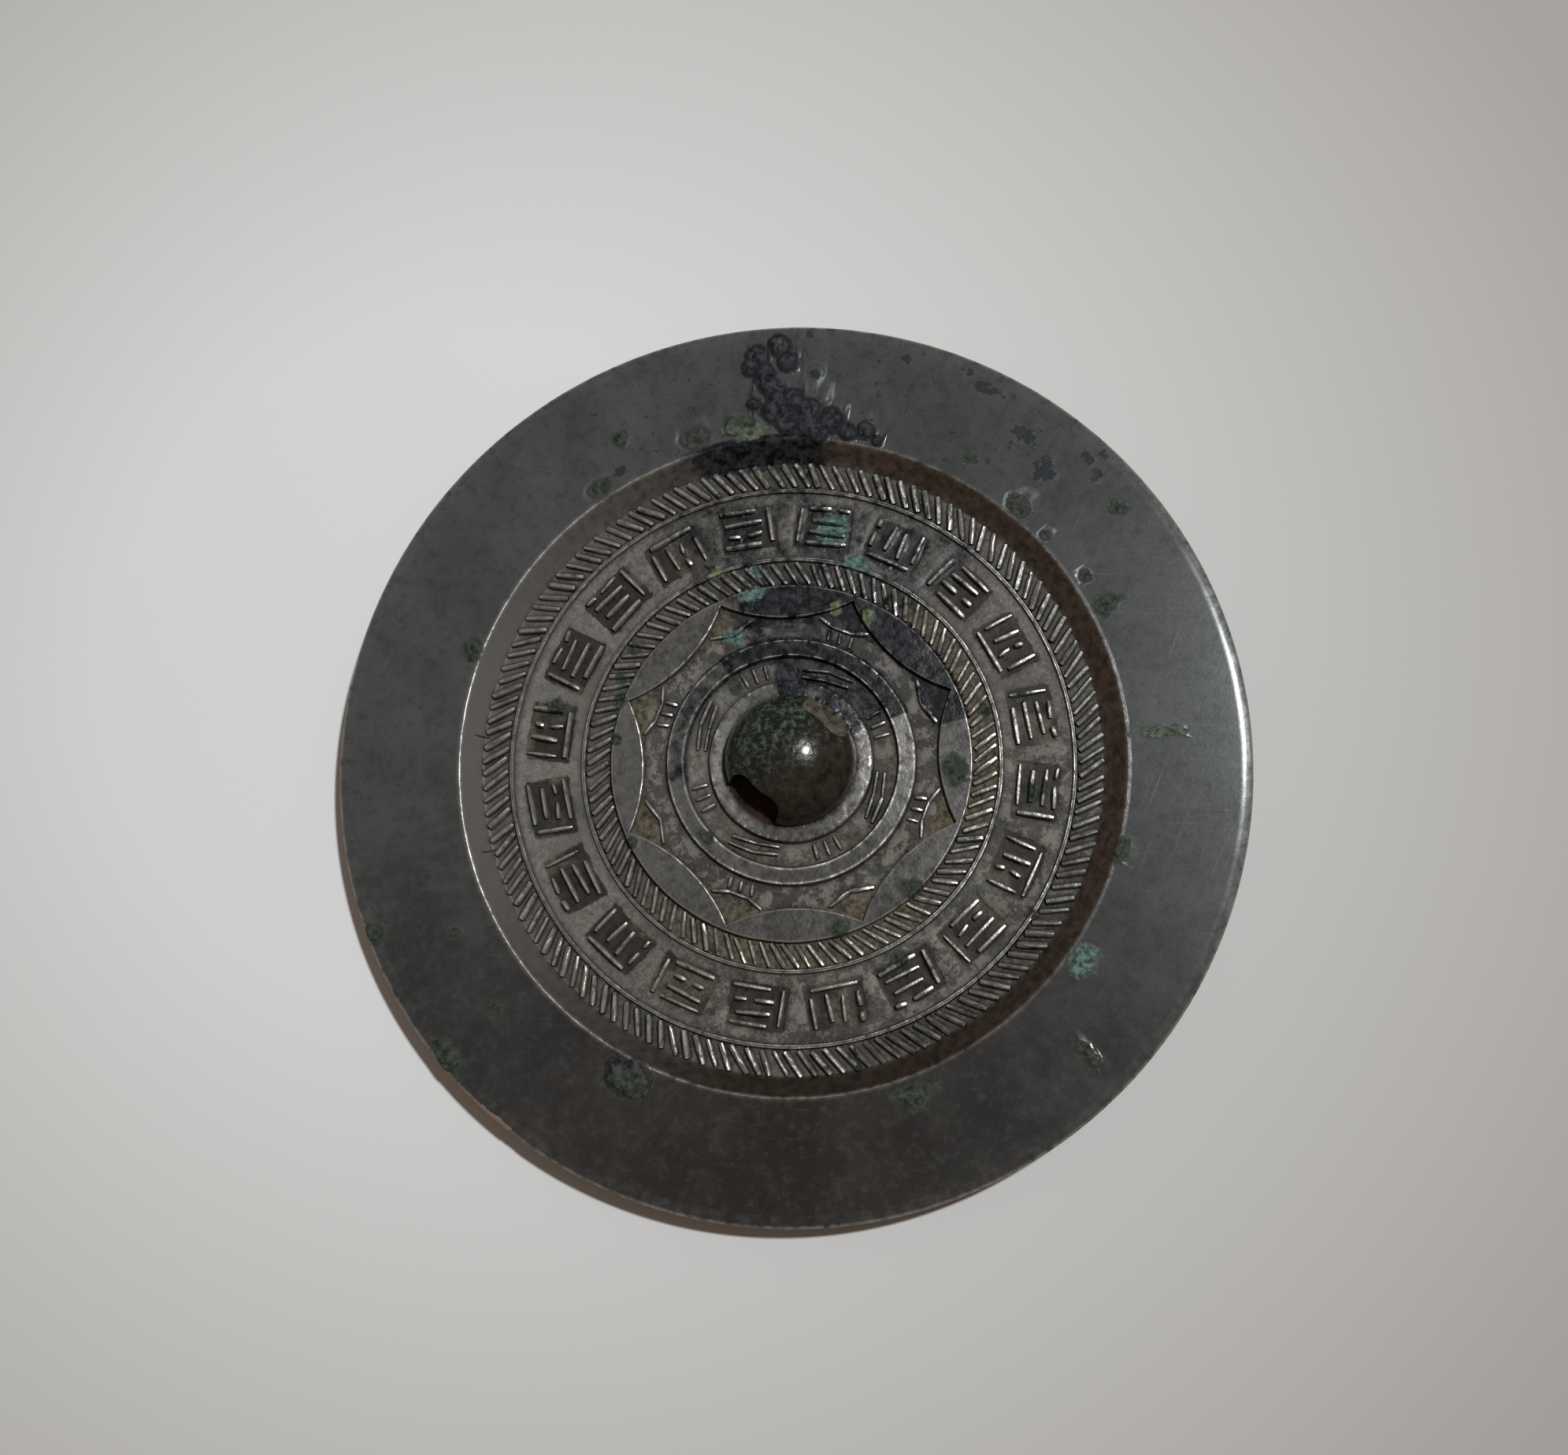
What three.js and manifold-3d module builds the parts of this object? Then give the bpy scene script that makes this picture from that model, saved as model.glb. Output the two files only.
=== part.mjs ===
import * as THREE from 'three';
import { mergeVertices } from 'three/addons/utils/BufferGeometryUtils.js';
import Module from 'manifold-3d';

// An ancient cast bronze mirror, lying on its reflecting face with its decorated back up.
// Millimetres, +Z up. The origin is the middle of the resting face, and the cord hole runs along X.

const wasm = await Module();
wasm.setup();

// Driving dimensions: the disc
const MIRROR_D = 110;
const RIM_TOP = 5.0;
const FIELD_TOP = 2.6;
const RIM_WIDTH = 14.7;
const RIM_SLOPE_WIDTH = 2.7;
const EDGE_ROUND = 0.45;
const FACE_RISE = 0.8;
const REST_SPOT_D = 30;

// Driving dimensions: the knob and its cord hole
const KNOB_D = 16;
const KNOB_TOP = 9.5;
const HOLE_WIDTH = 6.8;
const HOLE_HEIGHT = 4.4;
const HOLE_CORNER = 1.8;

// Driving dimensions: the raised bands, each from the middle outwards
const BAND_RISE = 0.8;
const BAND_WALL_SLOPE = 0.2;
const KNOB_RING_WIDTH = 2.1;
const KNOB_FIELD_WIDTH = 2.7;
const INNER_RING_WIDTH = 2.5;
const ARC_FIELD_WIDTH = 2.5;
const LOBE_WIDTH = 4.2;
const CUSP_WIDTH = 0.8;
const INNER_COMB_WIDTH = 3.0;
const OUTER_COMB_WIDTH = 3.0;
const LINE_WIDTH = 0.7;
const LINE_RISE = 0.35;
const INSCRIPTION_MARGIN = 1.5;

// Driving dimensions: the strokes
const STROKE_RISE = 0.35;
const LOW_STROKE = 0.85;
const OUTER_COMB_PITCH = 1.62;
const OUTER_STROKE_WIDTH = 0.7;
const INNER_COMB_PITCH = 1.52;
const INNER_STROKE_WIDTH = 0.6;
const COMB_LEAN = 0.6;
const MARK_GAP = 0.3;
const BLOCK_WIDTH = 6.4;
const MARK_WIDTH = 0.55;
const FINE_WIDTH = 0.5;
const SINK = 0.2;

// Counts and turns of the pattern, in degrees from the cord hole
const LOBES = 8;
const LOBE_TURN = -3;
const BLOCKS = 20;
const BLOCK_TURN = -3;
const BLOCK_SHIFT = 0.06;
const SLANTS = 3;
const SLANT_FROM = -0.72;
const SLANT_TO = 0.53;
const SLANT_REACH = 0.52;
const SLANT_LEAN = 0.12;
const SLANT_RAISE = 0.08;
const QUARTERS = 4;
const TRIPLE_TURN = 19.5;
const TRIPLE_PITCH = 5;
const TRIPLE_LEAN = 0.8;
const ARCH_SPAN = 10;
const ARCH_FLAT = 4;
const CHEVRON_TURN = -25.5;
const CHEVRON_SPAN = 9;
const FIELD_TRIPLE_TURN = -27;
const FIELD_TRIPLE_PITCH = 7;
const FIELD_PAIR_TURN = 18;
const FIELD_PAIR_SPAN = 15;

// How round the round things are
const DISC_SIDES = 72;
const BAND_SIDES = 48;
const KNOB_SIDES = 32;
const SIDE_OFFSET = 1.3;
const FACE_STEPS = 2;
const KNOB_STEPS = 6;
const LOBE_STEPS = 6;
const HOLE_CORNER_STEPS = 3;

// Radii worked out from the widths
const RIM_R = MIRROR_D / 2;
const RIM_INNER_R = RIM_R - RIM_WIDTH;
const FIELD_R = RIM_INNER_R - RIM_SLOPE_WIDTH;
const OUTER_LINE_R = FIELD_R - OUTER_COMB_WIDTH - LINE_WIDTH / 2;
const KNOB_R = KNOB_D / 2;
const KNOB_RING_R = KNOB_R + KNOB_RING_WIDTH;
const RING_INNER_R = KNOB_RING_R + KNOB_FIELD_WIDTH;
const RING_OUTER_R = RING_INNER_R + INNER_RING_WIDTH;
const LOBE_R = RING_OUTER_R + ARC_FIELD_WIDTH;
const ARC_BAND_R = LOBE_R + LOBE_WIDTH;
const CUSP_R = ARC_BAND_R - CUSP_WIDTH;
const INNER_LINE_R = ARC_BAND_R + INNER_COMB_WIDTH + LINE_WIDTH / 2;
const BAND_TOP = FIELD_TOP + BAND_RISE;
const BURIED = FIELD_TOP - SINK;

const radians = THREE.MathUtils.degToRad;

function polar(radius, degrees) {
  const angle = radians(degrees);
  return new THREE.Vector2(radius * Math.cos(angle), radius * Math.sin(angle));
}

// A closed geometry becomes a solid that can be joined and cut
function solid(geometry) {
  geometry.deleteAttribute('normal');
  geometry.deleteAttribute('uv');
  const merged = mergeVertices(geometry, 1e-5);
  return new wasm.Manifold(new wasm.Mesh({
    numProp: 3,
    vertProperties: new Float32Array(merged.attributes.position.array),
    triVerts: new Uint32Array(merged.index.array),
  }));
}

function join(solids) {
  return solids.reduce((whole, next) => whole.add(next));
}

// A profile of [radius, height] points turned about the upright axis
function turned(profile, sides, startDegrees = 0) {
  const points = profile.map(([radius, height]) => new THREE.Vector2(radius, height));
  const lathe = new THREE.LatheGeometry(points, sides, radians(startDegrees));
  return solid(lathe.rotateX(Math.PI / 2));
}

// A flat outline raised from one height to another
function raised(shape, low, high, curveSegments) {
  const settings = { depth: high - low, bevelEnabled: false, curveSegments };
  return solid(new THREE.ExtrudeGeometry(shape, settings).translate(0, 0, low));
}

// A raised stroke like a low roof, its foot sunk in the ground that it stands on
function stroke(start, end, width, rise = STROKE_RISE) {
  const depth = SINK;
  const footHalf = (width / 2) * (rise + depth) / rise;
  const roof = new THREE.Shape();
  roof.moveTo(-footHalf, -depth);
  roof.lineTo(footHalf, -depth);
  roof.lineTo(0, rise);
  roof.closePath();
  const along = new THREE.Vector3(end.x - start.x, end.y - start.y, 0);
  const length = along.length();
  along.normalize();
  const up = new THREE.Vector3(0, 0, 1);
  const across = new THREE.Vector3().crossVectors(up, along);
  const place = new THREE.Matrix4().makeBasis(across, up, along);
  place.setPosition(start.x, start.y, FIELD_TOP);
  const bar = new THREE.ExtrudeGeometry(roof, { depth: length, bevelEnabled: false });
  return solid(bar.applyMatrix4(place));
}

// A flat ring with sloping walls, raised from the field, as profile points from outside inwards
function ringProfile(inner, outer) {
  return [
    [outer, FIELD_TOP],
    [outer - BAND_WALL_SLOPE, BAND_TOP],
    [inner + BAND_WALL_SLOPE, BAND_TOP],
    [inner, FIELD_TOP],
  ];
}

// A thin raised line, as profile points from outside inwards
function lineProfile(radius) {
  return [
    [radius + LINE_WIDTH / 2, FIELD_TOP],
    [radius, FIELD_TOP + LINE_RISE],
    [radius - LINE_WIDTH / 2, FIELD_TOP],
  ];
}

// The disc: domed face below, thick rim, inner slope, and the field with its round lines and rings
function disc() {
  const spot = REST_SPOT_D / 2;
  const faceEdge = RIM_R - EDGE_ROUND;
  const profile = [[0, 0]];
  for (let step = 0; step <= FACE_STEPS; step += 1) {
    const share = step / FACE_STEPS;
    profile.push([spot + (faceEdge - spot) * share, FACE_RISE * share * share]);
  }
  profile.push([RIM_R, FACE_RISE + EDGE_ROUND]);
  profile.push([RIM_R, RIM_TOP - EDGE_ROUND]);
  profile.push([RIM_R - EDGE_ROUND, RIM_TOP]);
  profile.push([RIM_INNER_R, RIM_TOP]);
  profile.push([FIELD_R, FIELD_TOP]);
  profile.push(...lineProfile(OUTER_LINE_R));
  profile.push(...lineProfile(INNER_LINE_R));
  profile.push(...ringProfile(RING_INNER_R, RING_OUTER_R));
  profile.push([KNOB_RING_R, FIELD_TOP]);
  profile.push([KNOB_RING_R - BAND_WALL_SLOPE, BAND_TOP]);
  profile.push([0, BAND_TOP]);
  return turned(profile, DISC_SIDES, SIDE_OFFSET);
}

// The band of linked arcs: a round outside, and inside it lobes that meet in cusps
function arcBand() {
  const half = Math.PI / LOBES;
  const halfChord = CUSP_R * Math.sin(half);
  const chordR = CUSP_R * Math.cos(half);
  const bulge = chordR - LOBE_R;
  const lobeRound = (halfChord * halfChord + bulge * bulge) / (2 * bulge);
  const lobeCentre = LOBE_R + lobeRound;
  const halfSweep = Math.asin(halfChord / lobeRound);
  const outline = new THREE.Shape();
  outline.absarc(0, 0, ARC_BAND_R, 0, 2 * Math.PI, false);
  const points = [];
  for (let lobe = 0; lobe < LOBES; lobe += 1) {
    const turn = radians(LOBE_TURN) + lobe * 2 * half;
    for (let step = 0; step < LOBE_STEPS; step += 1) {
      const sweep = halfSweep * (1 - (2 * step) / LOBE_STEPS);
      const x = lobeCentre - lobeRound * Math.cos(sweep);
      const y = -lobeRound * Math.sin(sweep);
      points.push(new THREE.Vector2(x, y).rotateAround(new THREE.Vector2(), turn));
    }
  }
  outline.holes.push(new THREE.Path(points));
  return raised(outline, BURIED, BAND_TOP, BAND_SIDES / 2);
}

// The knob: a dome that grows out of its ring
function knob() {
  const rise = KNOB_TOP - BAND_TOP;
  const profile = [[0, BURIED], [KNOB_R, BURIED]];
  for (let step = 0; step <= KNOB_STEPS; step += 1) {
    const angle = (Math.PI / 2) * (step / KNOB_STEPS);
    const radius = step === KNOB_STEPS ? 0 : KNOB_R * Math.cos(angle);
    profile.push([radius, BAND_TOP + rise * Math.sin(angle)]);
  }
  return turned(profile, KNOB_SIDES);
}

// The cord hole right through the knob, with a flat floor and a rounded roof
function cordHole() {
  const side = HOLE_WIDTH / 2;
  const spring = HOLE_HEIGHT - HOLE_CORNER;
  const section = new THREE.Shape();
  section.moveTo(-side, 0);
  section.lineTo(side, 0);
  section.lineTo(side, spring);
  section.absarc(side - HOLE_CORNER, spring, HOLE_CORNER, 0, Math.PI / 2, false);
  section.absarc(HOLE_CORNER - side, spring, HOLE_CORNER, Math.PI / 2, Math.PI, false);
  section.closePath();
  const reach = KNOB_RING_R;
  const settings = { depth: 2 * reach, bevelEnabled: false, curveSegments: HOLE_CORNER_STEPS };
  const tunnel = new THREE.ExtrudeGeometry(section, settings);
  tunnel.translate(0, 0, -reach).rotateX(Math.PI / 2).rotateZ(Math.PI / 2);
  return solid(tunnel.translate(0, 0, BAND_TOP));
}

// A comb band: slanting strokes all round between two radii
function comb(inner, outer, pitch, width) {
  const from = inner + MARK_GAP;
  const to = outer - MARK_GAP;
  const count = Math.round((Math.PI * (from + to)) / pitch);
  const strokes = [];
  for (let index = 0; index < count; index += 1) {
    const middle = (360 * index) / count;
    const lean = THREE.MathUtils.radToDeg((COMB_LEAN * (to - from)) / (from + to));
    strokes.push(stroke(polar(from, middle - lean), polar(to, middle + lean), width));
  }
  return strokes;
}

// One block of the inscription band: rows of plain strokes that spell nothing.
// Each mark runs between two [across, outwards] places, as shares of half the block.
function block(index) {
  const low = INNER_LINE_R + LINE_WIDTH / 2 + INSCRIPTION_MARGIN;
  const high = OUTER_LINE_R - LINE_WIDTH / 2 - INSCRIPTION_MARGIN;
  const turn = radians(BLOCK_TURN + (360 * index) / BLOCKS);
  const flipAcross = index % 2 === 0 ? 1 : -1;
  const flipOut = index % 3 === 1 ? -1 : 1;
  const shift = ((index * 7) % 5 - 2) * BLOCK_SHIFT;
  const at = ([across, out]) => {
    const radius = (low + high) / 2 + (flipOut * out * (high - low)) / 2;
    const side = (-flipAcross * across * BLOCK_WIDTH) / 2;
    return new THREE.Vector2(radius, side).rotateAround(new THREE.Vector2(), turn);
  };
  const marks = [
    [[-0.92, 0.86 + shift], [0.62, 0.94]],
    [[0.94, 0.8], [0.86 - shift, -0.38]],
    [[-0.85, -0.72 + shift], [0.72, -0.92]],
  ];
  for (let count = 0; count < SLANTS; count += 1) {
    const middle = SLANT_FROM + ((SLANT_TO - SLANT_FROM) * count) / (SLANTS - 1);
    const reach = SLANT_REACH * (1 - 0.18 * ((index + count * 2) % 3));
    const top = [middle - SLANT_LEAN - shift, SLANT_RAISE + reach];
    const bottom = [middle + SLANT_LEAN, SLANT_RAISE - reach];
    marks.push([top, bottom]);
  }
  return marks.map(([start, end]) => stroke(at(start), at(end), MARK_WIDTH));
}

// Two or more strokes end to end through [radius, degrees] places, every other one a little lower
function bentLine(places, turn) {
  const points = places.map(([radius, degrees]) => polar(radius, turn + degrees));
  return points.slice(1).map((point, index) => {
    const overlap = index === 0 ? 0 : FINE_WIDTH / 2;
    const back = points[index].clone().sub(point).setLength(overlap);
    const rise = STROKE_RISE * (index % 2 === 0 ? 1 : LOW_STROKE);
    return stroke(points[index].clone().add(back), point, FINE_WIDTH, rise);
  });
}

// Three short strokes side by side
function triple(from, to, turn, pitch, lean) {
  return [-pitch, 0, pitch].map((degrees) => {
    const start = polar(from, turn + degrees - lean);
    return stroke(start, polar(to, turn + degrees), FINE_WIDTH);
  });
}

// At every other cusp: an arch over three short strokes
function cuspTriple(turn) {
  const crown = LOBE_R - FINE_WIDTH;
  const places = [
    [LOBE_R + FINE_WIDTH, -ARCH_SPAN],
    [crown, -ARCH_FLAT],
    [crown, ARCH_FLAT],
    [LOBE_R + FINE_WIDTH, ARCH_SPAN],
  ];
  const legsFrom = RING_OUTER_R + MARK_GAP;
  const legs = triple(legsFrom, crown - FINE_WIDTH, turn, TRIPLE_PITCH, TRIPLE_LEAN);
  return [...bentLine(places, turn), ...legs];
}

// The plainer chevron at the other cusps
function cuspChevron(turn) {
  const ends = LOBE_R + FINE_WIDTH;
  const places = [[ends, -CHEVRON_SPAN], [LOBE_R - FINE_WIDTH, 0], [ends, CHEVRON_SPAN]];
  return bentLine(places, turn);
}

// Round the knob: three short strokes, then two long ones that drift inwards
function knobFieldMarks(turn) {
  const low = KNOB_RING_R + MARK_GAP + FINE_WIDTH / 2;
  const high = RING_INNER_R - MARK_GAP - FINE_WIDTH / 2;
  const middle = (low + high) / 2;
  const span = FIELD_PAIR_SPAN;
  const pairTurn = turn + FIELD_PAIR_TURN;
  const outerLine = [[high, -span], [middle + FINE_WIDTH, 0], [middle, span]];
  const innerLine = [[middle, -span], [low + FINE_WIDTH / 2, 0], [low, span]];
  return [
    ...triple(low, high, turn + FIELD_TRIPLE_TURN, FIELD_TRIPLE_PITCH, 0),
    ...bentLine(outerLine, pairTurn),
    ...bentLine(innerLine, pairTurn),
  ];
}

function mirror() {
  const pieces = [
    disc(),
    arcBand(),
    knob(),
    ...comb(OUTER_LINE_R + LINE_WIDTH / 2, FIELD_R, OUTER_COMB_PITCH, OUTER_STROKE_WIDTH),
    ...comb(ARC_BAND_R, INNER_LINE_R - LINE_WIDTH / 2, INNER_COMB_PITCH, INNER_STROKE_WIDTH),
  ];
  for (let index = 0; index < BLOCKS; index += 1) {
    pieces.push(...block(index));
  }
  for (let quarter = 0; quarter < QUARTERS; quarter += 1) {
    const turn = (360 * quarter) / QUARTERS;
    pieces.push(...cuspTriple(TRIPLE_TURN + turn));
    pieces.push(...cuspChevron(CHEVRON_TURN + turn));
    pieces.push(...knobFieldMarks(turn));
  }
  return join(pieces).subtract(cordHole());
}

function toGeometry(manifold) {
  const mesh = manifold.getMesh();
  const geometry = new THREE.BufferGeometry();
  geometry.setAttribute('position', new THREE.BufferAttribute(mesh.vertProperties, 3));
  geometry.setIndex(new THREE.BufferAttribute(mesh.triVerts, 1));
  geometry.computeVertexNormals();
  return geometry;
}

const bronze = new THREE.MeshStandardMaterial({
  color: new THREE.Color(0.2, 0.21, 0.19),
  roughness: 0.45,
  metalness: 0.85,
});
bronze.name = 'patinated bronze';

const group = new THREE.Group();
group.name = 'ancient_bronze_mirror';
const body = new THREE.Mesh(toGeometry(mirror()), bronze);
body.name = 'bronze_mirror';
group.add(body);

export default group;
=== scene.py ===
import math
from collections import namedtuple

import bmesh
import bpy
import numpy as np
from mathutils import Matrix, Vector, noise


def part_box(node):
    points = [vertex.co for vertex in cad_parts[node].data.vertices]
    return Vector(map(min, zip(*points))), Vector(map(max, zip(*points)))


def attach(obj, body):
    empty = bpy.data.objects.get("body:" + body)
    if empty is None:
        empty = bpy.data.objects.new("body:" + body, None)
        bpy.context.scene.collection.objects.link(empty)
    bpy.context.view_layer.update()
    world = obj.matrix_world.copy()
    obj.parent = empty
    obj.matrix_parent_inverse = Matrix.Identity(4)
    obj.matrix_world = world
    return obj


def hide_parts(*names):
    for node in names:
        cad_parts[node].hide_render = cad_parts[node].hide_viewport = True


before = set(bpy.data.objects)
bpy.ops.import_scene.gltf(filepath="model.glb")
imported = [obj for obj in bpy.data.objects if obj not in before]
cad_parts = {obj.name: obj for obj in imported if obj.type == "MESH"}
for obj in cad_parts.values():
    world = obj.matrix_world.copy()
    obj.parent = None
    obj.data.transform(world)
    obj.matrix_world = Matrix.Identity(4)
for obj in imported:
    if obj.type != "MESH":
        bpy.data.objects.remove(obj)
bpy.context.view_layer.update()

# An ancient cast bronze mirror, lying on its reflecting face. The mirror is modelled in millimetres
# and scaled to metres at the end. Angles are in degrees from the cord hole, which runs along X.

box_low, box_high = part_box("bronze_mirror")
MM = 0.001

# The disc
RIM_R = (box_high[0] - box_low[0]) / 2 / MM
KNOB_TOP = box_high[2] / MM
RIM_TOP = 5.0
FIELD_TOP = 2.6
RIM_INNER_R = RIM_R - 14.7
FIELD_R = RIM_INNER_R - 2.7
FACE_RISE = 0.8
REST_SPOT_R = 15.0
EDGE_ROUND = 0.4

# The rim falls by the dip before its rounded edge, from this far in and over this width
RIM_DIP = 0.1
DIP_START = 1.5
DIP_WIDTH = 1.1

# The raised bands and lines, from the middle outwards
BAND_TOP = FIELD_TOP + 0.8
WALL = 0.3
KNOB_R = 8.0
KNOB_FULLNESS = 0.96
KNOB_RING_R = KNOB_R + 2.1
RING_INNER_R = KNOB_RING_R + 2.7
RING_OUTER_R = RING_INNER_R + 2.5
LOBE_R = RING_OUTER_R + 2.5
ARC_BAND_R = LOBE_R + 4.2
CUSP_R = ARC_BAND_R - 0.8
LINE_WIDTH = 0.75
LINE_RISE = 0.42
LINE_SIDE = 0.22
LINE_CREST = 0.28
INNER_LINE_R = ARC_BAND_R + 3.0 + LINE_WIDTH / 2
OUTER_LINE_R = FIELD_R - 3.0 - LINE_WIDTH / 2
BURIED = FIELD_TOP - 0.9

# The cord hole
HOLE_WIDTH = 6.8
HOLE_HEIGHT = 4.4
HOLE_CORNER = 1.9
HOLE_STEPS = 8
HOLE_SINK = 0.12

# Towards its mouths the hole widens by this share per millimetre, and its floor rises to the sill
FLARE = 0.035
FLARE_START = 4.6
SILL_RISE = 0.17
SILL_START = 6.6
SILL_WIDTH = 1.4

# The pattern
LOBES = 8
LOBE_TURN = -3.0
BLOCKS = 20
BLOCK_TURN = -3.0
BLOCK_WIDTH = 6.6
BLOCK_ROWS = 4
BLOCK_LOW = INNER_LINE_R + LINE_WIDTH / 2 + 1.5
BLOCK_HIGH = OUTER_LINE_R - LINE_WIDTH / 2 - 1.5
OUTER_STROKES = 140
INNER_STROKES = 98
COMB_GAP = 0.42
STROKE_LEAN = 0.3
STROKE_UNEVEN = 0.12
STROKE_POINTS = 5
STROKE_SIDES = 8
STROKE_CORNER = 1.08
CUSP_TRIPLE_TURN = 19.5
CHEVRON_TURN = -25.5

# How long a triangle's edge may be: on plain metal, in the cord hole, on patches and on raised ones
FREE_EDGE = 9.0
HOLE_EDGE = 0.6
PATCH_EDGE = 0.8
RAISED_EDGE = 0.34
LEAST_EDGE = 0.2

# The picture's right-hand side lies this far round from the cord hole
PICTURE_TURN = -50.0

# The camera, and the paper with a painted pool of light round its brightest spot, in millimetres along
# the picture's sides and upwards
CAMERA_PLACE = (15.41, -42.05, 240.37)
CAMERA_AIM = (-1.093, 4.726)
CAMERA_LENS = 45.8
PAPER_HALF = 1500.0
PAINTED_LIGHT_SPOT = (-45, 15)
PAPER_PAINTED_LIT = (0.87, 0.875, 0.875)
PAPER_PAINTED_DIM = (0.455, 0.438, 0.417)

# The room's light, and the side that it is brightest on
ROOM_DIM = (0.9, 0.62, 0.45)
ROOM_BRIGHT = (1.3, 1.08, 0.92)
ROOM_BRIGHT_SIDE = (-0.45, 0.85, 0.2)
ROOM_STRENGTH = 0.14


def polar(radius, degrees):
    """The point at a radius and an angle from the cord hole."""
    angle = math.radians(degrees)
    return np.array([radius * math.cos(angle), radius * math.sin(angle)])


def scene_object(name, data):
    """A new object, linked to the scene."""
    item = bpy.data.objects.new(name, data)
    bpy.context.scene.collection.objects.link(item)
    return item


def new_object(name, vertices, faces):
    """A mesh object at the origin."""
    mesh = bpy.data.meshes.new(name)
    mesh.from_pydata(np.asarray(vertices, dtype=float).tolist(), [], np.asarray(faces).tolist())
    mesh.update()
    return scene_object(name, mesh)


# Rings of points joined into a skin

def ring_points(radius, angle, height):
    """One ring's points. The radius may differ from point to point."""
    level = np.full(len(angle), height)
    return np.stack([radius * np.cos(angle), radius * np.sin(angle), level], axis=1)


def zip_rings(start_a, count_a, start_b, count_b):
    """Triangles between two closed rings with any number of points each."""
    i = np.arange(count_a)
    j = np.arange(count_b)
    apex_b = -((count_a - (2 * i + 1) * count_b) // (2 * count_a))
    apex_a = ((2 * j + 1) * count_a + count_b) // (2 * count_b)
    lower = np.stack([start_a + i, start_b + apex_b % count_b, start_a + (i + 1) % count_a], axis=1)
    upper = np.stack([start_b + j, start_b + (j + 1) % count_b, start_a + apex_a % count_a], axis=1)
    return np.concatenate([lower, upper])


def skin(rings):
    """A closed skin from (radius, height, columns) rings, the first and last being single points."""
    points = []
    faces = []
    starts = []
    for radius, height, columns in rings:
        starts.append(sum(len(p) for p in points))
        points.append(ring_points(radius, 2 * np.pi * np.arange(columns) / columns, height))
    for index in range(len(rings) - 1):
        a, b = starts[index], starts[index + 1]
        faces.append(zip_rings(a, rings[index][2], b, rings[index + 1][2]))
    faces = np.concatenate(faces)
    real = (faces[:, 0] != faces[:, 1]) & (faces[:, 1] != faces[:, 2]) & (faces[:, 2] != faces[:, 0])
    return np.concatenate(points), faces[real]


# Heights that depend on the radius alone

def ramp(share, soft=0.25):
    """From 0 to 1 in a straight slope whose two ends are rounded."""
    t = np.clip(share, 0, 1)
    slope = 1 / (1 - soft)
    start = slope * t * t / (2 * soft)
    end = 1 - slope * (1 - t) ** 2 / (2 * soft)
    return np.where(t < soft, start, np.where(t > 1 - soft, end, slope * (t - soft / 2)))


def plateau(radius, inner, outer):
    """1 between two radii and 0 outside them, with a sloping wall at each."""
    return ramp((radius - inner) / WALL) * ramp((outer - radius) / WALL)


def top_height(radius):
    """Height of the back without strokes, arcs and knob."""
    slope = ramp((radius - FIELD_R) / (RIM_INNER_R - FIELD_R), 0.12)
    height = FIELD_TOP + (RIM_TOP - FIELD_TOP) * slope
    height = height - RIM_DIP * np.clip((radius - RIM_R + DIP_START) / DIP_WIDTH, 0, 1) ** 2
    for middle in (OUTER_LINE_R, INNER_LINE_R):
        inside = LINE_WIDTH / 2 - np.abs(radius - middle)
        height = height + LINE_RISE * ramp(inside / LINE_SIDE, 0.4)
    height = height + (BAND_TOP - FIELD_TOP) * plateau(radius, RING_INNER_R, RING_OUTER_R)
    return height + (BAND_TOP - FIELD_TOP) * ramp((KNOB_RING_R - radius) / WALL)


def face_height(radius):
    """Height of the polished face, which is domed away from its flat middle."""
    share = np.clip((radius - REST_SPOT_R) / (RIM_R - REST_SPOT_R), 0, 1)
    return FACE_RISE * share * share


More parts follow.
